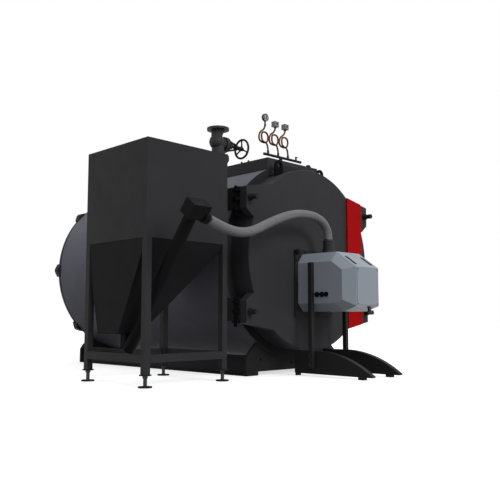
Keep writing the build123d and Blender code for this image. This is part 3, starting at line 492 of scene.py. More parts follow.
def tube_mesh(name, line, radius, sides=32):
    """A closed tube along a line."""
    mesh = bpy.data.meshes.new(name)
    work = bmesh.new()
    turns = [2 * math.pi * s / sides for s in range(sides)]
    rings = []
    for point, side, up in frames_along(line):
        spots = [point + radius * (math.cos(t) * side + math.sin(t) * up) for t in turns]
        rings.append([work.verts.new(spot) for spot in spots])
    join_rings(work, rings)
    bmesh.ops.recalc_face_normals(work, faces=work.faces)
    work.to_mesh(mesh)
    work.free()
    mesh.shade_smooth()
    return mesh


print("planes across the hose:", len(frames_along(hose_line)))

# %% The hose itself
HOSE_DIAMETER = 0.100

hose = bpy.data.objects.new("feed_hose_skin", tube_mesh("feed_hose_skin", hose_line, HOSE_DIAMETER / 2))
bpy.context.scene.collection.objects.link(hose)
give_finish(hose, "hose")
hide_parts("feed_hose")
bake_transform(hose)
print(hose.name, "blends from plant to door with", len(hose.data.polygons), "faces")

# %% [markdown]
# ## Turned and hexagonal pieces
#
# Bolts, nuts, discs and glands all have an outline that is spun about a line. A screw modifier on a curve
# could make them one at a time, but a plant has hundreds. So `spin` writes the rings straight into one
# mesh, and with six sides the same outline gives a hexagon. `block` does the same for flat pieces.

# %% Outlines spun about a line
UP = Vector((0, 0, 1))
RIGHT = Vector((1, 0, 0))
FRONT = Vector((0, -1, 0))
REAR = Vector((0, 1, 0))
HEXAGON = 6


def circle_of(centre, along, radius, count, start=0.0):
    """Places on a circle about a line; radius in millimetres, start in degrees."""
    along = along.normalized()
    side = along.orthogonal().normalized()
    up = along.cross(side)
    turns = [math.radians(start + 360 * k / count) for k in range(count)]
    return [centre + radius * MM * (math.cos(t) * side + math.sin(t) * up) for t in turns]


def spin(work, start, along, steps, sides=20, hollow=False):
    """Spins steps of (distance, radius) in millimetres about a line. A hollow one closes as a ring."""
    rings = []
    for distance, radius in steps:
        centre = start + along.normalized() * distance * MM
        rings.append([work.verts.new(spot) for spot in circle_of(centre, along, radius, sides)])
    join_rings(work, rings, hollow)


print("a circle of", HEXAGON, "places:", len(circle_of(at(0, 0, 0), UP, 1, HEXAGON)))

# %% Blocks, and the piece from its mesh
BLOCK_FACES = ((0, 1, 3, 2), (4, 6, 7, 5), (0, 4, 5, 1), (2, 3, 7, 6), (0, 2, 6, 4), (1, 5, 7, 3))


def block(work, low, high):
    """A block between two corners; the edge modifier rounds it later."""
    spots = [(x, y, z) for x in (low.x, high.x) for y in (low.y, high.y) for z in (low.z, high.z)]
    corners = [work.verts.new(spot) for spot in spots]
    for face in BLOCK_FACES:
        work.faces.new([corners[k] for k in face])


def make(name, work, finish, body, edge=0.0):
    """Turns a finished bmesh into a piece that rides on a body."""
    bmesh.ops.recalc_face_normals(work, faces=work.faces)
    mesh = bpy.data.meshes.new(name)
    work.to_mesh(mesh)
    work.free()
    piece = bpy.data.objects.new(name, mesh)
    bpy.context.scene.collection.objects.link(piece)
    give_finish(piece, finish)
    soften(piece, edge)
    mesh.set_sharp_from_angle(angle=SMOOTH_ANGLE)
    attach(piece, body)
    print(name, "rides on", body, "with", len(mesh.polygons), "faces")
    return piece


print("a block has", len(BLOCK_FACES), "faces")

# %% [markdown]
# ## Bolts and nuts
#
# A bolted joint shows a washer, a hexagon nut with chamfered corners and the bolt's end. Instances of one
# nut would be lighter, but a joined mesh exports anywhere. Every part is a share of the bolt's diameter, as
# in the standards, so one number sizes them all.

# %% A nut on its bolt
WASHER_RADIUS = 0.95
WASHER_TOP = 0.13
NUT_RADIUS = 0.87
NUT_TOP = 0.93
BOLT_RADIUS = 0.5
BOLT_END = 1.28
CHAMFER = 0.07
WASHER_OUTLINE = [(0, WASHER_RADIUS), (WASHER_TOP, WASHER_RADIUS)]
NUT_OUTLINE = [(WASHER_TOP, NUT_RADIUS - CHAMFER), (WASHER_TOP + CHAMFER, NUT_RADIUS),
               (NUT_TOP - CHAMFER, NUT_RADIUS), (NUT_TOP, NUT_RADIUS - CHAMFER)]
BOLT_OUTLINE = [(NUT_TOP - CHAMFER, BOLT_RADIUS), (BOLT_END - CHAMFER, BOLT_RADIUS),
                (BOLT_END, BOLT_RADIUS - CHAMFER)]


def nut(work, seat, along, size):
    """A washer, a nut and the end of its bolt on a seat; size is the bolt's diameter in millimetres."""
    for outline, sides in ((WASHER_OUTLINE, 20), (NUT_OUTLINE, HEXAGON), (BOLT_OUTLINE, 12)):
        spin(work, seat, along, [(distance * size, radius * size) for distance, radius in outline], sides)


print("a nut is", 2 * NUT_RADIUS, "times as wide over its corners as its bolt")

# %% [markdown]
# ## Bolts of the stop valve
#
# Bolts go right through the two joined flanges, with a nut above and below and a gasket between them, and
# smaller ones hold the bonnet on the globe. An array modifier could turn one nut about the axis, but a
# circle of places takes one line. No bolt stands on a flange's centre line, so each circle starts half a
# step on.

# %% Joint between nozzle and valve
VALVE_Y = 1725
JOINT_Z = 2928
JOINT_FLANGE = 32
JOINT_CIRCLE = 135
JOINT_BOLTS = 12
JOINT_BOLT = 20
GASKET_RADIUS = 160
GASKET_THICKNESS = 3

work = bmesh.new()
for way in (UP, -UP):
    face = at(0, VALVE_Y, JOINT_Z + way.z * JOINT_FLANGE)
    for seat in circle_of(face, way, JOINT_CIRCLE, JOINT_BOLTS, 180 / JOINT_BOLTS):
        nut(work, seat, way, JOINT_BOLT)
make("joint_flange_bolts", work, "fastener", "plant")

work = bmesh.new()
gasket = [(0, GASKET_RADIUS), (GASKET_THICKNESS, GASKET_RADIUS)]
spin(work, at(0, VALVE_Y, JOINT_Z - GASKET_THICKNESS / 2), UP, gasket, 64)
make("joint_gasket", work, "socket", "plant")

# %% Bonnet and its gland
BONNET_Z = 3148
BONNET_BOLTS = 8
BONNET_BOLT = 9
# direction of the nuts, place of the flange's face and radius of its bolt circle
BONNET_SIDES = ((RIGHT, 156, 103.5), (-RIGHT, 95, 100.5))
GLAND_X = 262
GLAND_OUTLINE = [(0, 27), (2, 29), (20, 29), (22, 27), (22, 17), (0, 17)]

work = bmesh.new()
for way, face, radius in BONNET_SIDES:
    for seat in circle_of(at(face, VALVE_Y, BONNET_Z), way, radius, BONNET_BOLTS, 180 / BONNET_BOLTS):
        nut(work, seat, way, BONNET_BOLT)
make("bonnet_bolts", work, "fastener", "plant")

work = bmesh.new()
spin(work, at(GLAND_X, VALVE_Y, BONNET_Z), RIGHT, GLAND_OUTLINE, HEXAGON, hollow=True)
make("valve_gland_nut", work, "fastener", "plant")

# %% [markdown]
# ## Handwheel
#
# A cast handwheel has a round rim, spokes that swell into hub and rim, and a nut on the stem, whose thread
# shows inside the yoke. The CAD's wheel is plain, and its stem is longer than the photo's, so this piece
# replaces it. A torus and three cylinders would meet in hard corners, so the spokes are tapered outlines
# that end inside the rim and the hub.

# %% Rim, hub and spokes
WHEEL_X = 474
WHEEL_RADIUS = 138
RIM_RADIUS = 16
RIM_SIDES = 16
SPOKES = 3
HUB_OUTLINE = [(-20.5, 22), (-18, 25), (-10, 31), (10, 31), (18, 26), (20.5, 24)]
SPOKE_OUTLINE = [(20, 16), (34, 14), (55, 12), (95, 11), (114, 12), (127, 15)]

wheel_work = bmesh.new()
hub = at(WHEEL_X, VALVE_Y, BONNET_Z)
rim = []
for k in range(RIM_SIDES):
    turn = 2 * math.pi * k / RIM_SIDES
    rim.append((RIM_RADIUS * math.cos(turn), WHEEL_RADIUS + RIM_RADIUS * math.sin(turn)))
spin(wheel_work, hub, RIGHT, rim, 64, hollow=True)
spin(wheel_work, hub, RIGHT, HUB_OUTLINE, 32)
for k in range(SPOKES):
    turn = math.radians(90 + 360 / SPOKES * k)
    spin(wheel_work, hub, Vector((0, math.cos(turn), math.sin(turn))), SPOKE_OUTLINE, 16)
print("wheel of", 2 * (WHEEL_RADIUS + RIM_RADIUS), "mm with", SPOKES, "spokes")

# %% Threaded stem with the wheel's nut
STEM_RADIUS = 13
STEM_REAR = 150
STEM_LENGTH = 362
THREAD_START = 136
THREAD_END = 236
THREAD_PITCH = 4
THREAD_TURNS = 24
THREAD_DEPTH = 2
WHEEL_NUT_OUTLINE = [(0, 20), (2, 22), (12, 22), (14, 20)]

stem = [(0, STEM_RADIUS), (THREAD_START - THREAD_DEPTH, STEM_RADIUS)]
for k in range(THREAD_TURNS):
    crest = THREAD_START + THREAD_PITCH * k
    stem += [(crest, STEM_RADIUS), (crest + THREAD_PITCH / 2, STEM_RADIUS - THREAD_DEPTH)]
stem += [(THREAD_END, STEM_RADIUS), (STEM_LENGTH - THREAD_DEPTH, STEM_RADIUS),
         (STEM_LENGTH, STEM_RADIUS - THREAD_DEPTH)]
spin(wheel_work, at(STEM_REAR, VALVE_Y, BONNET_Z), RIGHT, stem, 20)
spin(wheel_work, at(WHEEL_X + 20, VALVE_Y, BONNET_Z), RIGHT, WHEEL_NUT_OUTLINE, HEXAGON)
handwheel = make("handwheel", wheel_work, "dark", "wheel")
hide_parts("valve_handwheel")

# %% [markdown]
# ## Pigtail siphons
#
# A pigtail siphon is one turn of copper tube that holds water, so that steam never reaches the gauge. The
# photo's tubes are thicker than the CAD's, so these replace them along the same way. A bevelled curve would
# give the same tube, but the hose's own helpers already draw one from a spline.

# %% Siphon tubes
MANIFOLD_Y = 520
MANIFOLD_Z = 2740
SIPHON_FEET = (-238, -48, 142)
SIPHON_TOPS = (-288, -98, 92)
SIPHON_START = 20
INSTRUMENT_Y = 524
SIPHON_TOP_Z = 3125
SIPHON_RADIUS = 0.0115
LOOP_Z = 2957
LOOP_RADIUS = 66
LOOP_DEPTH = 22
# side, rise and depth of each corner, as shares of the loop's radius and depth
LOOP_TURNS = ((-1, -1, 0), (-1, 1, 0.27), (1, 1, 0.55), (1, -1, 1), (-1.42, -1, 1), (-1.42, 0.75, 1))
LOOP_EXIT_SHARE = 1.7

work = bmesh.new()
for foot, top in zip(SIPHON_FEET, SIPHON_TOPS):
    turns = [(foot, MANIFOLD_Y, MANIFOLD_Z + SIPHON_START), (foot, MANIFOLD_Y, LOOP_Z - LOOP_RADIUS)]
    for side, rise, depth in LOOP_TURNS:
        turns.append((top + side * LOOP_RADIUS, MANIFOLD_Y + depth * LOOP_DEPTH, LOOP_Z + rise * LOOP_RADIUS))
    turns.append((top, INSTRUMENT_Y, LOOP_Z + LOOP_EXIT_SHARE * LOOP_RADIUS))
    turns.append((top, INSTRUMENT_Y, SIPHON_TOP_Z))
    pigtail = tube_mesh("pigtail", route_spline([at(*turn) for turn in turns]), SIPHON_RADIUS, 20)
    work.from_mesh(pigtail)
    bpy.data.meshes.remove(pigtail)
siphon_tubes = make("siphon_tubes", work, "copper", "plant")
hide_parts("siphons")

# %% [markdown]
# ## Unions and plugs of the gauge pipes
#
# Each siphon screws into the manifold and into its instrument with a hexagon, and the pipe's two ends are
# plugged. They could be cylinders from the menu, but a hexagon with a chamfer reads as something that a
# spanner fits, and `spin` gives it with one outline.

# %% Unions
UNION_OUTLINE = [(0, 14), (2, 16), (16, 16), (18, 14)]
UNION_FOOT = 34
UNION_DROP = 20
PLUG_OUTLINE = [(0, 17), (3, 19), (9, 19), (12, 12)]
MANIFOLD_ENDS = ((-303, -RIGHT), (387, RIGHT))

work = bmesh.new()
for foot in SIPHON_FEET:
    spin(work, at(foot, MANIFOLD_Y, MANIFOLD_Z + UNION_FOOT), UP, UNION_OUTLINE, HEXAGON)
for top in SIPHON_TOPS:
    spin(work, at(top, INSTRUMENT_Y, SIPHON_TOP_Z - UNION_DROP), UP, UNION_OUTLINE, HEXAGON)
for x, way in MANIFOLD_ENDS:
    spin(work, at(x, MANIFOLD_Y, MANIFOLD_Z), way, PLUG_OUTLINE, 16)
make("gauge_pipe_unions", work, "fastener", "plant")

# %% [markdown]
# ## Pressure gauge
#
# A dial gauge has a bezel ring, a grey dial with 33 marks over three quarters of a turn, plain numbers, a
# pointer and a glass. A painted texture would blur close up, so the marks are thin solids and the numbers
# are text objects turned into meshes.

# %% Bezel and dial
GAUGE = at(SIPHON_TOPS[0], 511.5, 3212)
BEZEL_OUTLINE = [(0, 50), (4, 50), (6, 48), (6, 46), (3, 44), (0, 44)]
DIAL_OUTLINE = [(0, 44.5), (0.8, 44.5)]

work = bmesh.new()
spin(work, GAUGE, FRONT, BEZEL_OUTLINE, 64, hollow=True)
make("gauge_bezel", work, "instrument", "plant")

work = bmesh.new()
spin(work, GAUGE, FRONT, DIAL_OUTLINE, 64)
make("gauge_dial", work, "dial", "plant")

# %% Marks and pointer
DIAL_START = 225
DIAL_SWEEP = 270
DIAL_MARKS = 33
LONG_EVERY = 4
# start, end, half of the width and height of a mark
LONG_MARK = (34, 41, 0.7, 1.1)
SHORT_MARK = (37, 41, 0.35, 1.1)
POINTER = (-9, 36, 1.1, 1.9)
POINTER_SHARE = 0.02
POINTER_HUB = [(0.7, 4), (2.2, 4), (2.8, 3)]
MARK_FOOT = 0.7
MARK_FACES = ((3, 2, 1, 0), (4, 5, 6, 7), (0, 1, 5, 4), (1, 2, 6, 5), (2, 3, 7, 6), (3, 0, 4, 7))


def dial_way(share):
    """The direction of a share of the scale, which runs from lower left over the top to lower right."""
    turn = math.radians(DIAL_START - DIAL_SWEEP * share)
    return Vector((math.cos(turn), 0, math.sin(turn)))


def strip(work, way, start, end, half, height):
    """A thin bar on the dial along a direction, in millimetres."""
    across = way.cross(REAR)
    corners = []
    for lift in (MARK_FOOT, height):
        for distance, side in ((start, -half), (start, half), (end, half), (end, -half)):
            corners.append(work.verts.new(GAUGE + (way * distance + across * side + FRONT * lift) * MM))
    for face in MARK_FACES:
        work.faces.new([corners[k] for k in face])


work = bmesh.new()
for k in range(DIAL_MARKS):
    strip(work, dial_way(k / (DIAL_MARKS - 1)), *(SHORT_MARK if k % LONG_EVERY else LONG_MARK))
strip(work, dial_way(POINTER_SHARE), *POINTER)
spin(work, GAUGE, FRONT, POINTER_HUB, 20)
make("gauge_marks", work, "print", "plant")

# %% Numbers and glass
NUMBERS = (0, 4, 8, 12, 16)
NUMBER_CIRCLE = 25
NUMBER_SIZE = 10
NUMBER_LIFT = 0.9
GLASS_OUTLINE = [(3.2, 45), (4.2, 45)]

upright = Matrix.Rotation(math.pi / 2, 4, "X")
numbers = bmesh.new()
for number in NUMBERS:
    words = bpy.data.curves.new("number", "FONT")
    words.body = str(number)
    words.size = NUMBER_SIZE * MM
    words.align_x = "CENTER"
    words.align_y = "CENTER"
    words.extrude = 0.15 * MM
    holder = bpy.data.objects.new("number", words)
    flat = bpy.data.meshes.new_from_object(holder)
    spot = GAUGE + dial_way(number / NUMBERS[-1]) * NUMBER_CIRCLE * MM + FRONT * NUMBER_LIFT * MM
    flat.transform(Matrix.Translation(spot) @ upright)
    numbers.from_mesh(flat)
    bpy.data.objects.remove(holder)
make("gauge_numbers", numbers, "print", "plant")

work = bmesh.new()
spin(work, GAUGE, FRONT, GLASS_OUTLINE, 64)
make("gauge_glass", work, "glass", "plant")

# %% [markdown]
# ## Pressure switches
#
# Each switch is a moulded box with a screwed lid, a window over its scale and a cable gland at the back.
# The lid could be cut into the box with a boolean, but a thin block that stands proud shows the same line.
# Screws, window and gland share one black mesh, because they are one colour.

# %% Lids, windows and glands
SWITCH_FRONT = INSTRUMENT_Y - 31
SWITCH_REAR = INSTRUMENT_Y + 31
SWITCH_LOW = 3125
SWITCH_HIGH = 3195
LID_HALF = 35
LID_FACE = SWITCH_FRONT - 5
LID_ROOM = 3
LID_SCREW_X = 29
LID_SCREW_Z = (SWITCH_LOW + 9, SWITCH_HIGH - 9)
LID_SCREW_OUTLINE = [(0, 3.5), (1.5, 3.5), (2.2, 2.4)]
WINDOW_HALF = 15
WINDOW_PROUD = 1
WINDOW_Z = (SWITCH_LOW + 26, SWITCH_LOW + 50)
SWITCH_GLAND_Z = SWITCH_LOW + 22
SWITCH_GLAND_OUTLINE = [(0, 13), (6, 13), (6, 11), (14, 11), (20, 7)]

lids = bmesh.new()
fittings = bmesh.new()
for top in SIPHON_TOPS[1:]:
    block(lids, at(top - LID_HALF, LID_FACE, SWITCH_LOW + LID_ROOM),
          at(top + LID_HALF, SWITCH_FRONT, SWITCH_HIGH - LID_ROOM))
    for side in (-1, 1):
        for level in LID_SCREW_Z:
            spin(fittings, at(top + LID_SCREW_X * side, LID_FACE, level), FRONT, LID_SCREW_OUTLINE, 14)
    block(fittings, at(top - WINDOW_HALF, LID_FACE - WINDOW_PROUD, WINDOW_Z[0]),
          at(top + WINDOW_HALF, LID_FACE + WINDOW_PROUD, WINDOW_Z[1]))
    spin(fittings, at(top, SWITCH_REAR, SWITCH_GLAND_Z), REAR, SWITCH_GLAND_OUTLINE, 12)
make("switch_lids", lids, "switch", "plant", 0.002)
make("switch_fittings", fittings, "instrument", "plant")

# %% [markdown]
# ## Painted shade on the cladding and the deck
#
# A dark ring on the lagging's front face paints the shade that lies on the band between the pale cladding
# and the smokebox. A dark strip along the deck's lower edges paints the shadow line between deck and
# cladding. Both could be a second material on the big sheets, but a line that thin needs its own edge, so
# they are thin solids.

# %% Front ring of painted shade
AXIS_MM = AXIS_Z / MM
CASING_MM = (casing_high[2] - casing_low[2]) / 2 / MM
CASING_FRONT = 300
SMOKEBOX_MM = 1100
RING_DEPTH = 3
RING_ROOM = 1
RING_SLOPE = 2

# a dark ring on the lagging's front face: painted shade on the band between cladding and smokebox
work = bmesh.new()
ring = [(0, SMOKEBOX_MM + RING_ROOM), (RING_DEPTH, SMOKEBOX_MM + RING_ROOM),
        (RING_DEPTH, CASING_MM - RING_SLOPE), (0, CASING_MM)]
spin(work, at(0, CASING_FRONT, AXIS_MM), FRONT, ring, 160, hollow=True)
make("cladding_front_shade_ring", work, "dark", "plant")

# %% Deck strips of painted shadow
CASING_REAR = 3900
DECK_HALF = 475
STRIP_SIDES = (DECK_HALF - 1, DECK_HALF + 5)
STRIP_LEVELS = (-6, 12)
STRIP_ROOM = 3

# dark strips along the deck's lower edges: a painted shadow line between deck and cladding
work = bmesh.new()
meeting = AXIS_MM + math.sqrt(CASING_MM**2 - DECK_HALF**2)
for side in (-1, 1):
    left, right = sorted(side * x for x in STRIP_SIDES)
    block(work, at(left, CASING_FRONT + STRIP_ROOM, meeting + STRIP_LEVELS[0]),
          at(right, CASING_REAR - STRIP_ROOM, meeting + STRIP_LEVELS[1]))
make("deck_shadow_strips", work, "base", "plant", 0.002)

# %% [markdown]
# ## Hinge side plates
#
# Beside each hinge the photo shows a dark upright plate, which stiffens the two lugs. One plate with a slot
# would need a boolean, and the arm has to swing through it. So each plate is two short halves in front,
# with room for the arm between them, and one piece behind.

# %% Side plates
HINGE_RISE = 632
PLATE_X = (-1106, -1096)
ARM_ROOM_Y = (137, 215)
ARM_ROOM_HALF = 27
PLATE_REAR = 350
PLATE_Z = (-112, 150)

work = bmesh.new()
for side in (-1, 1):
    middle = AXIS_MM + side * HINGE_RISE
    for low, high in ((PLATE_Z[0], -ARM_ROOM_HALF), (ARM_ROOM_HALF, PLATE_Z[1])):
        block(work, at(PLATE_X[0], ARM_ROOM_Y[0], middle + low), at(PLATE_X[1], ARM_ROOM_Y[1], middle + high))
    block(work, at(PLATE_X[0], ARM_ROOM_Y[1], middle + PLATE_Z[0]),
          at(PLATE_X[1], PLATE_REAR, middle + PLATE_Z[1]))
make("hinge_side_plates", work, "dark", "plant", 0.002)

# %% [markdown]
# ## Small pieces on the deck
#
# The photo shows two bolt heads on the deck's left edge and a capped stub at its front right corner. The
# bolts on the right edge are hidden, but a deck is fixed on both sides. The nut and the spin from above do
# for all of them.

# %% Deck bolts and the capped stub
DECK_Z = 2630
DECK_BOLT = 18
DECK_BOLT_X = 455
DECK_BOLT_Y = (655, 778)
STUB_X = 345
STUB_Y = 345
STUB_OUTLINE = [(0, 42), (6, 42), (6, 30), (24, 30), (34, 24), (39, 12)]

work = bmesh.new()
for side in (-1, 1):
    for y in DECK_BOLT_Y:
        nut(work, at(DECK_BOLT_X * side, y, DECK_Z), UP, DECK_BOLT)
make("deck_bolts", work, "fastener", "plant")

work = bmesh.new()
spin(work, at(STUB_X, STUB_Y, DECK_Z), UP, STUB_OUTLINE, 28)
make("deck_stub", work, "dark", "plant", 0.002)

# %% [markdown]
# ## Door fittings
#
# The clamp bolts bear on washers. A rope of mineral fibre lies behind the door's rim and seals it against
# the smokebox's flange: it shows when the door is open. The rope could be a bevelled curve, but it is
# squeezed nearly flat in its groove, so it is a flat ring with a braided material.

# %% Washers and the seal
CLAMP_X = 1090
CLAMP_RISE = 640
CLAMP_WASHER = [(0, 43), (6, 43), (8, 41)]
CLAMP_NUT = [(8, 34), (10, 36), (44, 36), (46, 34)]
CLAMP_BOLT = [(46, 22), (108, 22), (110, 20)]
DOOR_REAR = 105
SEAL_OUTLINE = [(0, 1088), (3, 1088), (4.5, 1091), (4.5, 1099), (3, 1102), (0, 1102)]

work = bmesh.new()
for side in (-1, 1):
    for level in (-1, 1):
        seat = at(CLAMP_X * side, 0, AXIS_MM + CLAMP_RISE * level)
        for outline, sides in ((CLAMP_WASHER, 32), (CLAMP_NUT, HEXAGON), (CLAMP_BOLT, 20)):
            spin(work, seat, FRONT, outline, sides)
make("clamp_washers", work, "dark", "door")

work = bmesh.new()
spin(work, at(0, DOOR_REAR, AXIS_MM), REAR, SEAL_OUTLINE, 128, hollow=True)
make("door_seal", work, "rope", "door")

# %% [markdown]
# ## Bolts, knobs and screws of the burner
#
# Bolts hold the burner's plate to the door, with a round knob at each upper corner, and four small screws
# hold the front panel. Smooth discs would do from afar, but the photo is sharp enough to tell a knob from a
# nut, so each has its own outline.

# %% Bolts and knobs of the plate
PLATE_Y = -22
PLATE_EDGE = 322
PLATE_TOP = 1458
PLATE_BOLT = 14
SIDE_BOLTS_Z = (800, 1080, 1360)
TOP_BOLTS_X = (-160, 0, 160)
KNOB_OUTLINE = [(0, 12), (6, 12), (7, 27), (10, 31), (24, 31), (29, 26), (30, 16)]

bolt_places = [(side * PLATE_EDGE, z) for side in (-1, 1) for z in SIDE_BOLTS_Z]
bolt_places += [(x, PLATE_TOP) for x in TOP_BOLTS_X]
work = bmesh.new()
for x, z in bolt_places:
    nut(work, at(x, PLATE_Y, z), FRONT, PLATE_BOLT)
make("burner_plate_bolts", work, "fastener", "door")

work = bmesh.new()
for side in (-1, 1):
    spin(work, at(PLATE_EDGE * side, PLATE_Y, PLATE_TOP), FRONT, KNOB_OUTLINE, 24)
make("burner_plate_knobs", work, "auger", "door")

# %% Screws of the front panel
PANEL_Y = -811
PANEL_SCREW_X = 188
PANEL_SCREW_Z = (832, 1218)
PANEL_SCREW_OUTLINE = [(0, 7.5), (2.5, 7.5), (4.5, 5), (4.5, 2.4), (2.5, 2)]

work = bmesh.new()
for side in (-1, 1):
    for z in PANEL_SCREW_Z:
        spin(work, at(PANEL_SCREW_X * side, PANEL_Y, z), FRONT, PANEL_SCREW_OUTLINE, 20)
make("burner_panel_screws", work, "fastener", "door")

# %% [markdown]
# ## Grilles of the burner
#
# Air for the fan comes in through two slots in the cover's slanting brow, each behind thin bars. A texture
# with see-through stripes would look flat from the side. So every bar is a thin rod, laid across the slot
# one step below the last, and two rods close the sides.

# %% Grilles in the brow's slots
BROW_MIDDLE = (-684, 1328.2)
BROW_NORMAL = Vector((0, -0.5667, 0.8239))
BROW_DOWN = Vector((0, -0.8239, -0.5667))
SLOT_X = 150
SLOT_HALF = 82
BAR_HALF = 21
END_BAR_HALF = 15
BAR_RADIUS = 2.3
BAR_PITCH = 6
BAR_SINK = 0.5
LAST_BAR = 15
FIRST_END_BAR = 14
SIDE_BAR_RADIUS = 2.6

work = bmesh.new()
for side in (-1, 1):
    middle = at(SLOT_X * side, *BROW_MIDDLE)
    for k in range(-LAST_BAR, LAST_BAR + 1):
        bar = middle + BROW_DOWN * (BAR_PITCH * k * MM) - BROW_NORMAL * (BAR_SINK * MM)
        half = BAR_HALF if abs(k) < FIRST_END_BAR else END_BAR_HALF
        spin(work, bar - RIGHT * (half * MM), RIGHT, [(0, BAR_RADIUS), (2 * half, BAR_RADIUS)], 8)
    for edge in (-BAR_HALF, BAR_HALF):
        bar = middle + RIGHT * (edge * MM) - BROW_DOWN * (SLOT_HALF * MM)
        spin(work, bar, BROW_DOWN, [(0, SIDE_BAR_RADIUS), (2 * SLOT_HALF, SIDE_BAR_RADIUS)], 10)
make("burner_grilles", work, "grille", "door")

# %% [markdown]
# ## Glands, socket and latch of the burner
#
# Two cable glands and a round socket sit low on the cover's left side, and a small latch closes its front
# from below. A gland is a hexagon with a round cap, so two outlines are spun at one place. The latch is
# only bent plate and a pin, for which two blocks and a rod are enough.

# %% Glands and the round socket
COVER_SIDE = -299
CABLE_Z = 940
CABLE_GLANDS_Y = (-314, -386)
SOCKET_Y = -446
CABLE_NUT = [(0, 32), (2, 34), (10, 34), (12, 32)]
CABLE_CAP = [(12, 29), (20, 29), (25, 24), (27, 14)]
SOCKET_OUTLINE = [(0, 29), (10, 29), (12, 27), (12, 19), (3, 19), (3, 1)]

work = bmesh.new()
for y in CABLE_GLANDS_Y:
    spin(work, at(COVER_SIDE, y, CABLE_Z), -RIGHT, CABLE_NUT, HEXAGON)
    spin(work, at(COVER_SIDE, y, CABLE_Z), -RIGHT, CABLE_CAP, 28)
spin(work, at(COVER_SIDE, SOCKET_Y, CABLE_Z), -RIGHT, SOCKET_OUTLINE, 28)
make("burner_glands", work, "black", "door")

# %% The latch under the front
LATCH_PLATE = ((42, -796, 726), (80, -770, 802))
LATCH_LIP = ((36, -803, 722), (86, -792, 752))
LATCH_PIN = (42, -783, 736)
LATCH_PIN_OUTLINE = [(0, 10), (16, 10), (19, 8)]

work = bmesh.new()
for low, high in (LATCH_PLATE, LATCH_LIP):
    block(work, at(*low), at(*high))
spin(work, at(*LATCH_PIN), -RIGHT, LATCH_PIN_OUTLINE, 20)
make("burner_latch", work, "fastener", "door", 0.003)

# %% [markdown]
# ## Burner stand
#
# The legs are square tubes with pressed-in plastic caps, and two bolts hold each one to its ski. A cap
# could be a face of the leg with another material, but its own edge shows where it sits in the tube.

# %% Caps and bolts of the legs
LEG_OUTER = 349
LEG_WIDTH = 50
LEG_FRONT = -265
LEG_REAR = LEG_FRONT + LEG_WIDTH
LEG_TOP = 1310
CAP_ROOM = 1
CAP_HEIGHT = 5
SKI_BOLT = 12
SKI_BOLTS_Z = (140, 230)

caps = bmesh.new()
bolts = bmesh.new()
for side in (-1, 1):
    left, right = sorted((side * (LEG_OUTER - LEG_WIDTH + CAP_ROOM), side * (LEG_OUTER - CAP_ROOM)))
    block(caps, at(left, LEG_FRONT + CAP_ROOM, LEG_TOP), at(right, LEG_REAR - CAP_ROOM, LEG_TOP + CAP_HEIGHT))
    for z in SKI_BOLTS_Z:
        nut(bolts, at(side * LEG_OUTER, (LEG_FRONT + LEG_REAR) / 2, z), RIGHT * side, SKI_BOLT)
make("leg_caps", caps, "instrument", "door", 0.002)
make("leg_bolts", bolts, "fastener", "door")

# %% [markdown]
# ## Hose clips
#
# A worm-drive clip holds the hose at each end: a thin band and a small screw housing. The hose bends when
# the door opens, but its ends don't, so each clip rides rigidly on the side that it is on. One function
# makes both, because they differ only in place and direction.

# %% Clips
CLIP_BAND = [(-6, 50.2), (-6, 51.6), (-5, 52), (5, 52), (6, 51.6), (6, 50.2)]
CLIP_HOUSING = [(0, 4), (1, 5.5), (17, 5.5), (18, 4)]
CLIP_SCREW = [(0, 4.8), (5, 4.8)]
HOUSING_OUT = 55
HOUSING_START = 11
SCREW_START = 7
CLIP_FROM_SPOUT = 16
CLIP_ABOVE_SOCKET = 13


def hose_clip(name, centre, along, outward, body):
    """A band round the hose with its screw housing on one side."""
    work = bmesh.new()
    spin(work, centre, along, CLIP_BAND, 64, hollow=True)
    across = along.cross(outward).normalized()
    housing = centre + outward * (HOUSING_OUT * MM)
    spin(work, housing - across * (HOUSING_START * MM), across, CLIP_HOUSING, 12)
    spin(work, housing + across * (SCREW_START * MM), across, CLIP_SCREW, HEXAGON)
    make(name, work, "fastener", body)


spout = at(*HOSE_ROUTE[0])
spout_way = (at(*HOSE_ROUTE[1]) - spout).normalized()
spout_side = spout_way.cross(RIGHT).normalized()
hose_clip("spout_hose_clip", spout + spout_way * (CLIP_FROM_SPOUT * MM), spout_way, spout_side, "plant")
socket_x, socket_y, socket_z = HOSE_ROUTE[-1]
hose_clip("socket_hose_clip", at(socket_x, socket_y, socket_z + CLIP_ABOVE_SOCKET), UP, REAR, "door")

# %% [markdown]
# ## Auger tube and its boot
#
# The photo shows a round tube of about 125 mm with a closed end, and no box under the funnel. The CAD keeps
# a square tube and a plain box there for its solids, so both are replaced: the tube by a spun outline with
# a bearing cap on its low end, and the box by a plate that closes the funnel's outlet and a narrow chute
# from it down to the tube.

# %% Round auger tube
AUGER_X = -2268
AUGER_LOW = at(AUGER_X, 606, 330)
AUGER_HIGH = at(AUGER_X, -408, 1690)
AUGER_RADIUS = 62
AUGER_CAP = [(-8, 18), (-6, 20), (0, 20), (0, 50), (4, 58), (10, AUGER_RADIUS)]

auger_way = (AUGER_HIGH - AUGER_LOW).normalized()
auger_reach = (AUGER_HIGH - AUGER_LOW).length / MM
work = bmesh.new()
spin(work, AUGER_LOW, auger_way, AUGER_CAP + [(auger_reach, AUGER_RADIUS)], 48)
auger_tube = make("auger_pipe", work, "auger", "plant")
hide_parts("auger_tube")

# %% Boot under the funnel
box_low, box_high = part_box("auger_box")
BOTTOM_PLATE = 0.012
CHUTE_HALF = 44
CHUTE_FRONT = 600
CHUTE_REAR = 690
CHUTE_LOW = 352

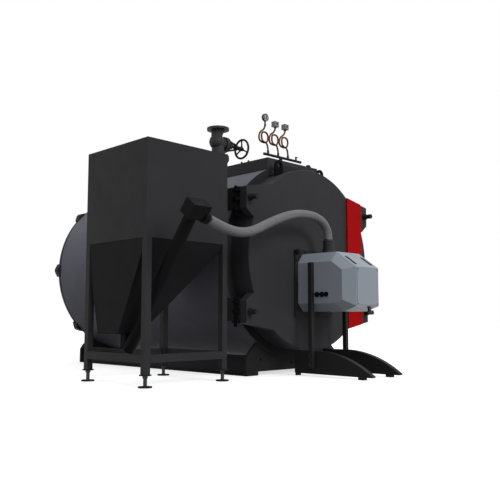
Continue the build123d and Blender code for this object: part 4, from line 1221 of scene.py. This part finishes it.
work = bmesh.new()
plate_low = Vector((box_low[0], box_low[1], box_high[2] - BOTTOM_PLATE))
block(work, plate_low, Vector(box_high))
block(work, at(AUGER_X - CHUTE_HALF, CHUTE_FRONT, CHUTE_LOW),
      at(AUGER_X + CHUTE_HALF, CHUTE_REAR, plate_low.z / MM))
boot = make("auger_boot", work, "auger", "plant", 0.003)
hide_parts("auger_box")

# %% [markdown]
# ## Levelling feet
#
# Each foot is a threaded rod with a collar on the round base and a lock nut under the leg. The thread could
# be cut as on the valve's stem, but at this distance it is finer than a pixel, so the rod stays plain.

# %% Rods and lock nuts
LEG_PLACES = [(x, y) for x in (-2426, -1409) for y in (97, 1114)]
ROD_Z = 10
ROD_OUTLINE = [(0, 27), (7, 24), (10, 19), (104, 19)]
LOCK_NUT_Z = 90
LOCK_NUT_OUTLINE = [(0, 25), (3, 28), (21, 28), (24, 25)]

work = bmesh.new()
for x, y in LEG_PLACES:
    spin(work, at(x, y, ROD_Z), UP, ROD_OUTLINE, 28)
    spin(work, at(x, y, LOCK_NUT_Z), UP, LOCK_NUT_OUTLINE, HEXAGON)
make("foot_nuts", work, "fastener", "plant")

# %% [markdown]
# ## Screws and weld of the hopper
#
# Six screws a side hold the lid, and a weld bead runs round the joint of bin and funnel. The bead could be
# a bump in the paint, but it stands against the light there. So it is a thin rod whose radius goes up and
# down, as the puddles of a weld do.

# %% Lid screws
BIN = {"left": -2460, "right": -1375, "front": 63, "rear": 1148, "bottom": 1466, "top": 2467}
SCREWS_A_SIDE = 6
SCREW_MARGIN = 20
BIN_SCREW_OUTLINE = [(0, 9), (3, 9), (5.5, 6)]

work = bmesh.new()
for k in range(SCREWS_A_SIDE):
    share = (k + 0.5) / SCREWS_A_SIDE
    x = BIN["left"] + share * (BIN["right"] - BIN["left"])
    y = BIN["front"] + share * (BIN["rear"] - BIN["front"])
    for spot in ((x, BIN["front"] + SCREW_MARGIN), (x, BIN["rear"] - SCREW_MARGIN),
                 (BIN["left"] + SCREW_MARGIN, y), (BIN["right"] - SCREW_MARGIN, y)):
        spin(work, at(*spot, BIN["top"]), UP, BIN_SCREW_OUTLINE, 16)
make("lid_screws", work, "fastener", "plant")

# %% Weld bead between bin and funnel
WELD_CORNERS = (("left", "front"), ("right", "front"), ("right", "rear"), ("left", "rear"))
WELD_STEPS = 120
WELD_RADIUS = 2.2
WELD_RIPPLE = 0.9

work = bmesh.new()
corners = [at(BIN[x], BIN[y], BIN["bottom"]) for x, y in WELD_CORNERS]
for first, second in zip(corners, corners[1:] + corners[:1]):
    step = (second - first).length / MM / WELD_STEPS
    beads = [(k * step, WELD_RADIUS + WELD_RIPPLE * (k % 2)) for k in range(WELD_STEPS + 1)]
    spin(work, first, second - first, beads, 8)
make("hopper_weld", work, "hopper", "plant")

# %% [markdown]
# ## Rear end
#
# Each of the eight clamps pulls the rear cover on with a nut. The photo doesn't show this end, so it has
# only what such a cover needs. The clamps stand on a circle about the drum's axis, so the nuts follow it.

# %% Nuts of the rear clamps
REAR_CLAMPS = 8
REAR_CLAMP_CIRCLE = 1209
REAR_CLAMP_Y = 3999
REAR_CLAMP_BOLT = 20

work = bmesh.new()
for k in range(REAR_CLAMPS):
    turn = math.radians(360 / REAR_CLAMPS * k)
    seat = at(REAR_CLAMP_CIRCLE * math.cos(turn), REAR_CLAMP_Y, AXIS_MM + REAR_CLAMP_CIRCLE * math.sin(turn))
    nut(work, seat, REAR, REAR_CLAMP_BOLT)
make("rear_clamp_nuts", work, "fastener", "plant")

# %% [markdown]
# ## Tube ends
#
# Behind the door, every smoke tube is welded to the front tube plate. A small ring round each tube gives
# the weld, where a boolean union would only slow the file down.

# %% Welds round the smoke tubes
TUBE_ROWS = ((830, 15), (660, 11))
TUBE_SWEEP = 216
PLATE_FACE = 420
TUBE_WELD_OUTLINE = [(0, 44), (0, 52), (3, 50), (6, 45.2), (6, 44)]

work = bmesh.new()
for row_radius, row_count in TUBE_ROWS:
    for k in range(row_count):
        turn = math.radians(90 - TUBE_SWEEP / 2 + TUBE_SWEEP * k / (row_count - 1))
        centre = at(row_radius * math.cos(turn), PLATE_FACE, AXIS_MM + row_radius * math.sin(turn))
        spin(work, centre, FRONT, TUBE_WELD_OUTLINE, 32, hollow=True)
make("tube_welds", work, "steel", "plant")

# %% [markdown]
# ## Floor
#
# The photo's background is plain white with a soft shadow. A white floor would light the plant from below
# much more than the photo shows. So the floor is white to the rays that see it, from the camera, in gloss
# and in glass, and a dark grey to all others, which carry its light up to the boiler.

# %% White where it is seen
WHITE_RAYS = ("Is Camera Ray", "Is Glossy Ray", "Is Transmission Ray")


def grey(value):
    """A grey without any tint."""
    return (value, value, value, 1)


def seen_white(tree):
    """1 for rays that show the background: the camera's, and those in gloss and in glass."""
    path = tree.nodes.new("ShaderNodeLightPath")
    seen = path.outputs[WHITE_RAYS[0]]
    for ray in WHITE_RAYS[1:]:
        either = tree.nodes.new("ShaderNodeMath")
        either.operation = "MAXIMUM"
        tree.links.new(seen, either.inputs[0])
        tree.links.new(path.outputs[ray], either.inputs[1])
        seen = either.outputs["Value"]
    return seen


def choose_by_ray(tree, dim, white, output):
    """Puts the white shader where it is seen and the dim one everywhere else."""
    choose = tree.nodes.new("ShaderNodeMixShader")
    tree.links.new(seen_white(tree), choose.inputs["Fac"])
    tree.links.new(dim, choose.inputs[1])
    tree.links.new(white, choose.inputs[2])
    tree.links.new(choose.outputs["Shader"], tree.nodes[output].inputs["Surface"])


print("the background is white to", len(WHITE_RAYS), "kinds of ray")

# %% Floor
FLOOR_HALF = 60
FLOOR_TONE = 0.62
FLOOR_GLOW = 0.62
FLOOR_DIM = 0.22
FLOOR_SIDES = ((-1, -1), (1, -1), (1, 1), (-1, 1))


def floor_material():
    """White where it is seen, dark to the light that it would send up."""
    material, tree, shader = new_material("floor_white")
    shader.inputs["Base Color"].default_value = grey(FLOOR_TONE)
    shader.inputs["Roughness"].default_value = 1
    shader.inputs["Specular IOR Level"].default_value = 0
    shader.inputs["Emission Color"].default_value = grey(1)
    shader.inputs["Emission Strength"].default_value = FLOOR_GLOW
    dim = tree.nodes.new("ShaderNodeBsdfDiffuse")
    dim.inputs["Color"].default_value = grey(FLOOR_DIM)
    choose_by_ray(tree, dim.outputs["BSDF"], shader.outputs["BSDF"], "Material Output")
    return material


floor_mesh = bpy.data.meshes.new("floor")
floor_mesh.from_pydata([(x * FLOOR_HALF, y * FLOOR_HALF, 0) for x, y in FLOOR_SIDES], [], [(0, 1, 2, 3)])
floor = bpy.data.objects.new("floor", floor_mesh)
bpy.context.scene.collection.objects.link(floor)
floor.data.materials.append(floor_material())
print("floor of", 2 * FLOOR_HALF, "m")

# %% [markdown]
# ## Lamps
#
# The photo has the even light of a studio: one wide soft light from the front, a weak one from the camera's
# side that fills the shadows, and a weaker one from behind that draws the left edges. Area lamps would do,
# but they fade over a plant of five metres, so each is a sun with a wide angle.

# %% Three suns
# name, direction that the light comes from, strength, width in degrees
LAMPS = [
    ("key", (0.0, -0.85, 0.52), 1.65, 25),
    ("fill", (-0.70, -0.70, 0.15), 0.15, 20),
    ("back", (-0.60, 0.60, 0.50), 0.10, 30),
]
for lamp_name, direction, strength, width in LAMPS:
    lamp_data = bpy.data.lights.new(lamp_name, "SUN")
    lamp_data.energy = strength
    lamp_data.angle = math.radians(width)
    lamp = bpy.data.objects.new(lamp_name, lamp_data)
    lamp.rotation_mode = "QUATERNION"
    lamp.rotation_quaternion = Vector(direction).to_track_quat("Z", "Y")
    bpy.context.scene.collection.objects.link(lamp)
    print(lamp_name, "lamp of strength", strength)

# %% [markdown]
# ## Sky
#
# The rest of the light comes from all round, brighter overhead than at the horizon, as under a lit ceiling.
# A picture of a studio could give it, but a ramp over the height of the direction is smaller and easy to
# tune. The same choice by ray keeps the background white.

# %% World
# height of the direction and brightness there
SKY_STOPS = [(0.0, 0.30), (0.04, 0.62), (0.30, 0.64), (0.90, 1.0)]


def sky():
    """White where it is seen; for light, a grey that grows from the horizon to overhead."""
    world = bpy.data.worlds.new("sky")
    world.use_nodes = True
    bpy.context.scene.world = world
    tree = world.node_tree
    light = tree.nodes["Background"]
    coordinates = tree.nodes.new("ShaderNodeTexCoord")
    split = tree.nodes.new("ShaderNodeSeparateXYZ")
    ramp = tree.nodes.new("ShaderNodeValToRGB")
    while len(ramp.color_ramp.elements) < len(SKY_STOPS):
        ramp.color_ramp.elements.new(0.5)
    for stop, (height, value) in zip(ramp.color_ramp.elements, SKY_STOPS):
        stop.position = height
        stop.color = grey(value)
    tree.links.new(coordinates.outputs["Generated"], split.inputs["Vector"])
    tree.links.new(split.outputs["Z"], ramp.inputs["Fac"])
    tree.links.new(ramp.outputs["Color"], light.inputs["Color"])
    white = tree.nodes.new("ShaderNodeBackground")
    white.inputs["Color"].default_value = grey(1)
    choose_by_ray(tree, light.outputs["Background"], white.outputs["Background"], "World Output")


sky()
bpy.context.scene.view_settings.view_transform = "Standard"
print("sky from", SKY_STOPS[0][1], "at the horizon to", SKY_STOPS[-1][1], "overhead")
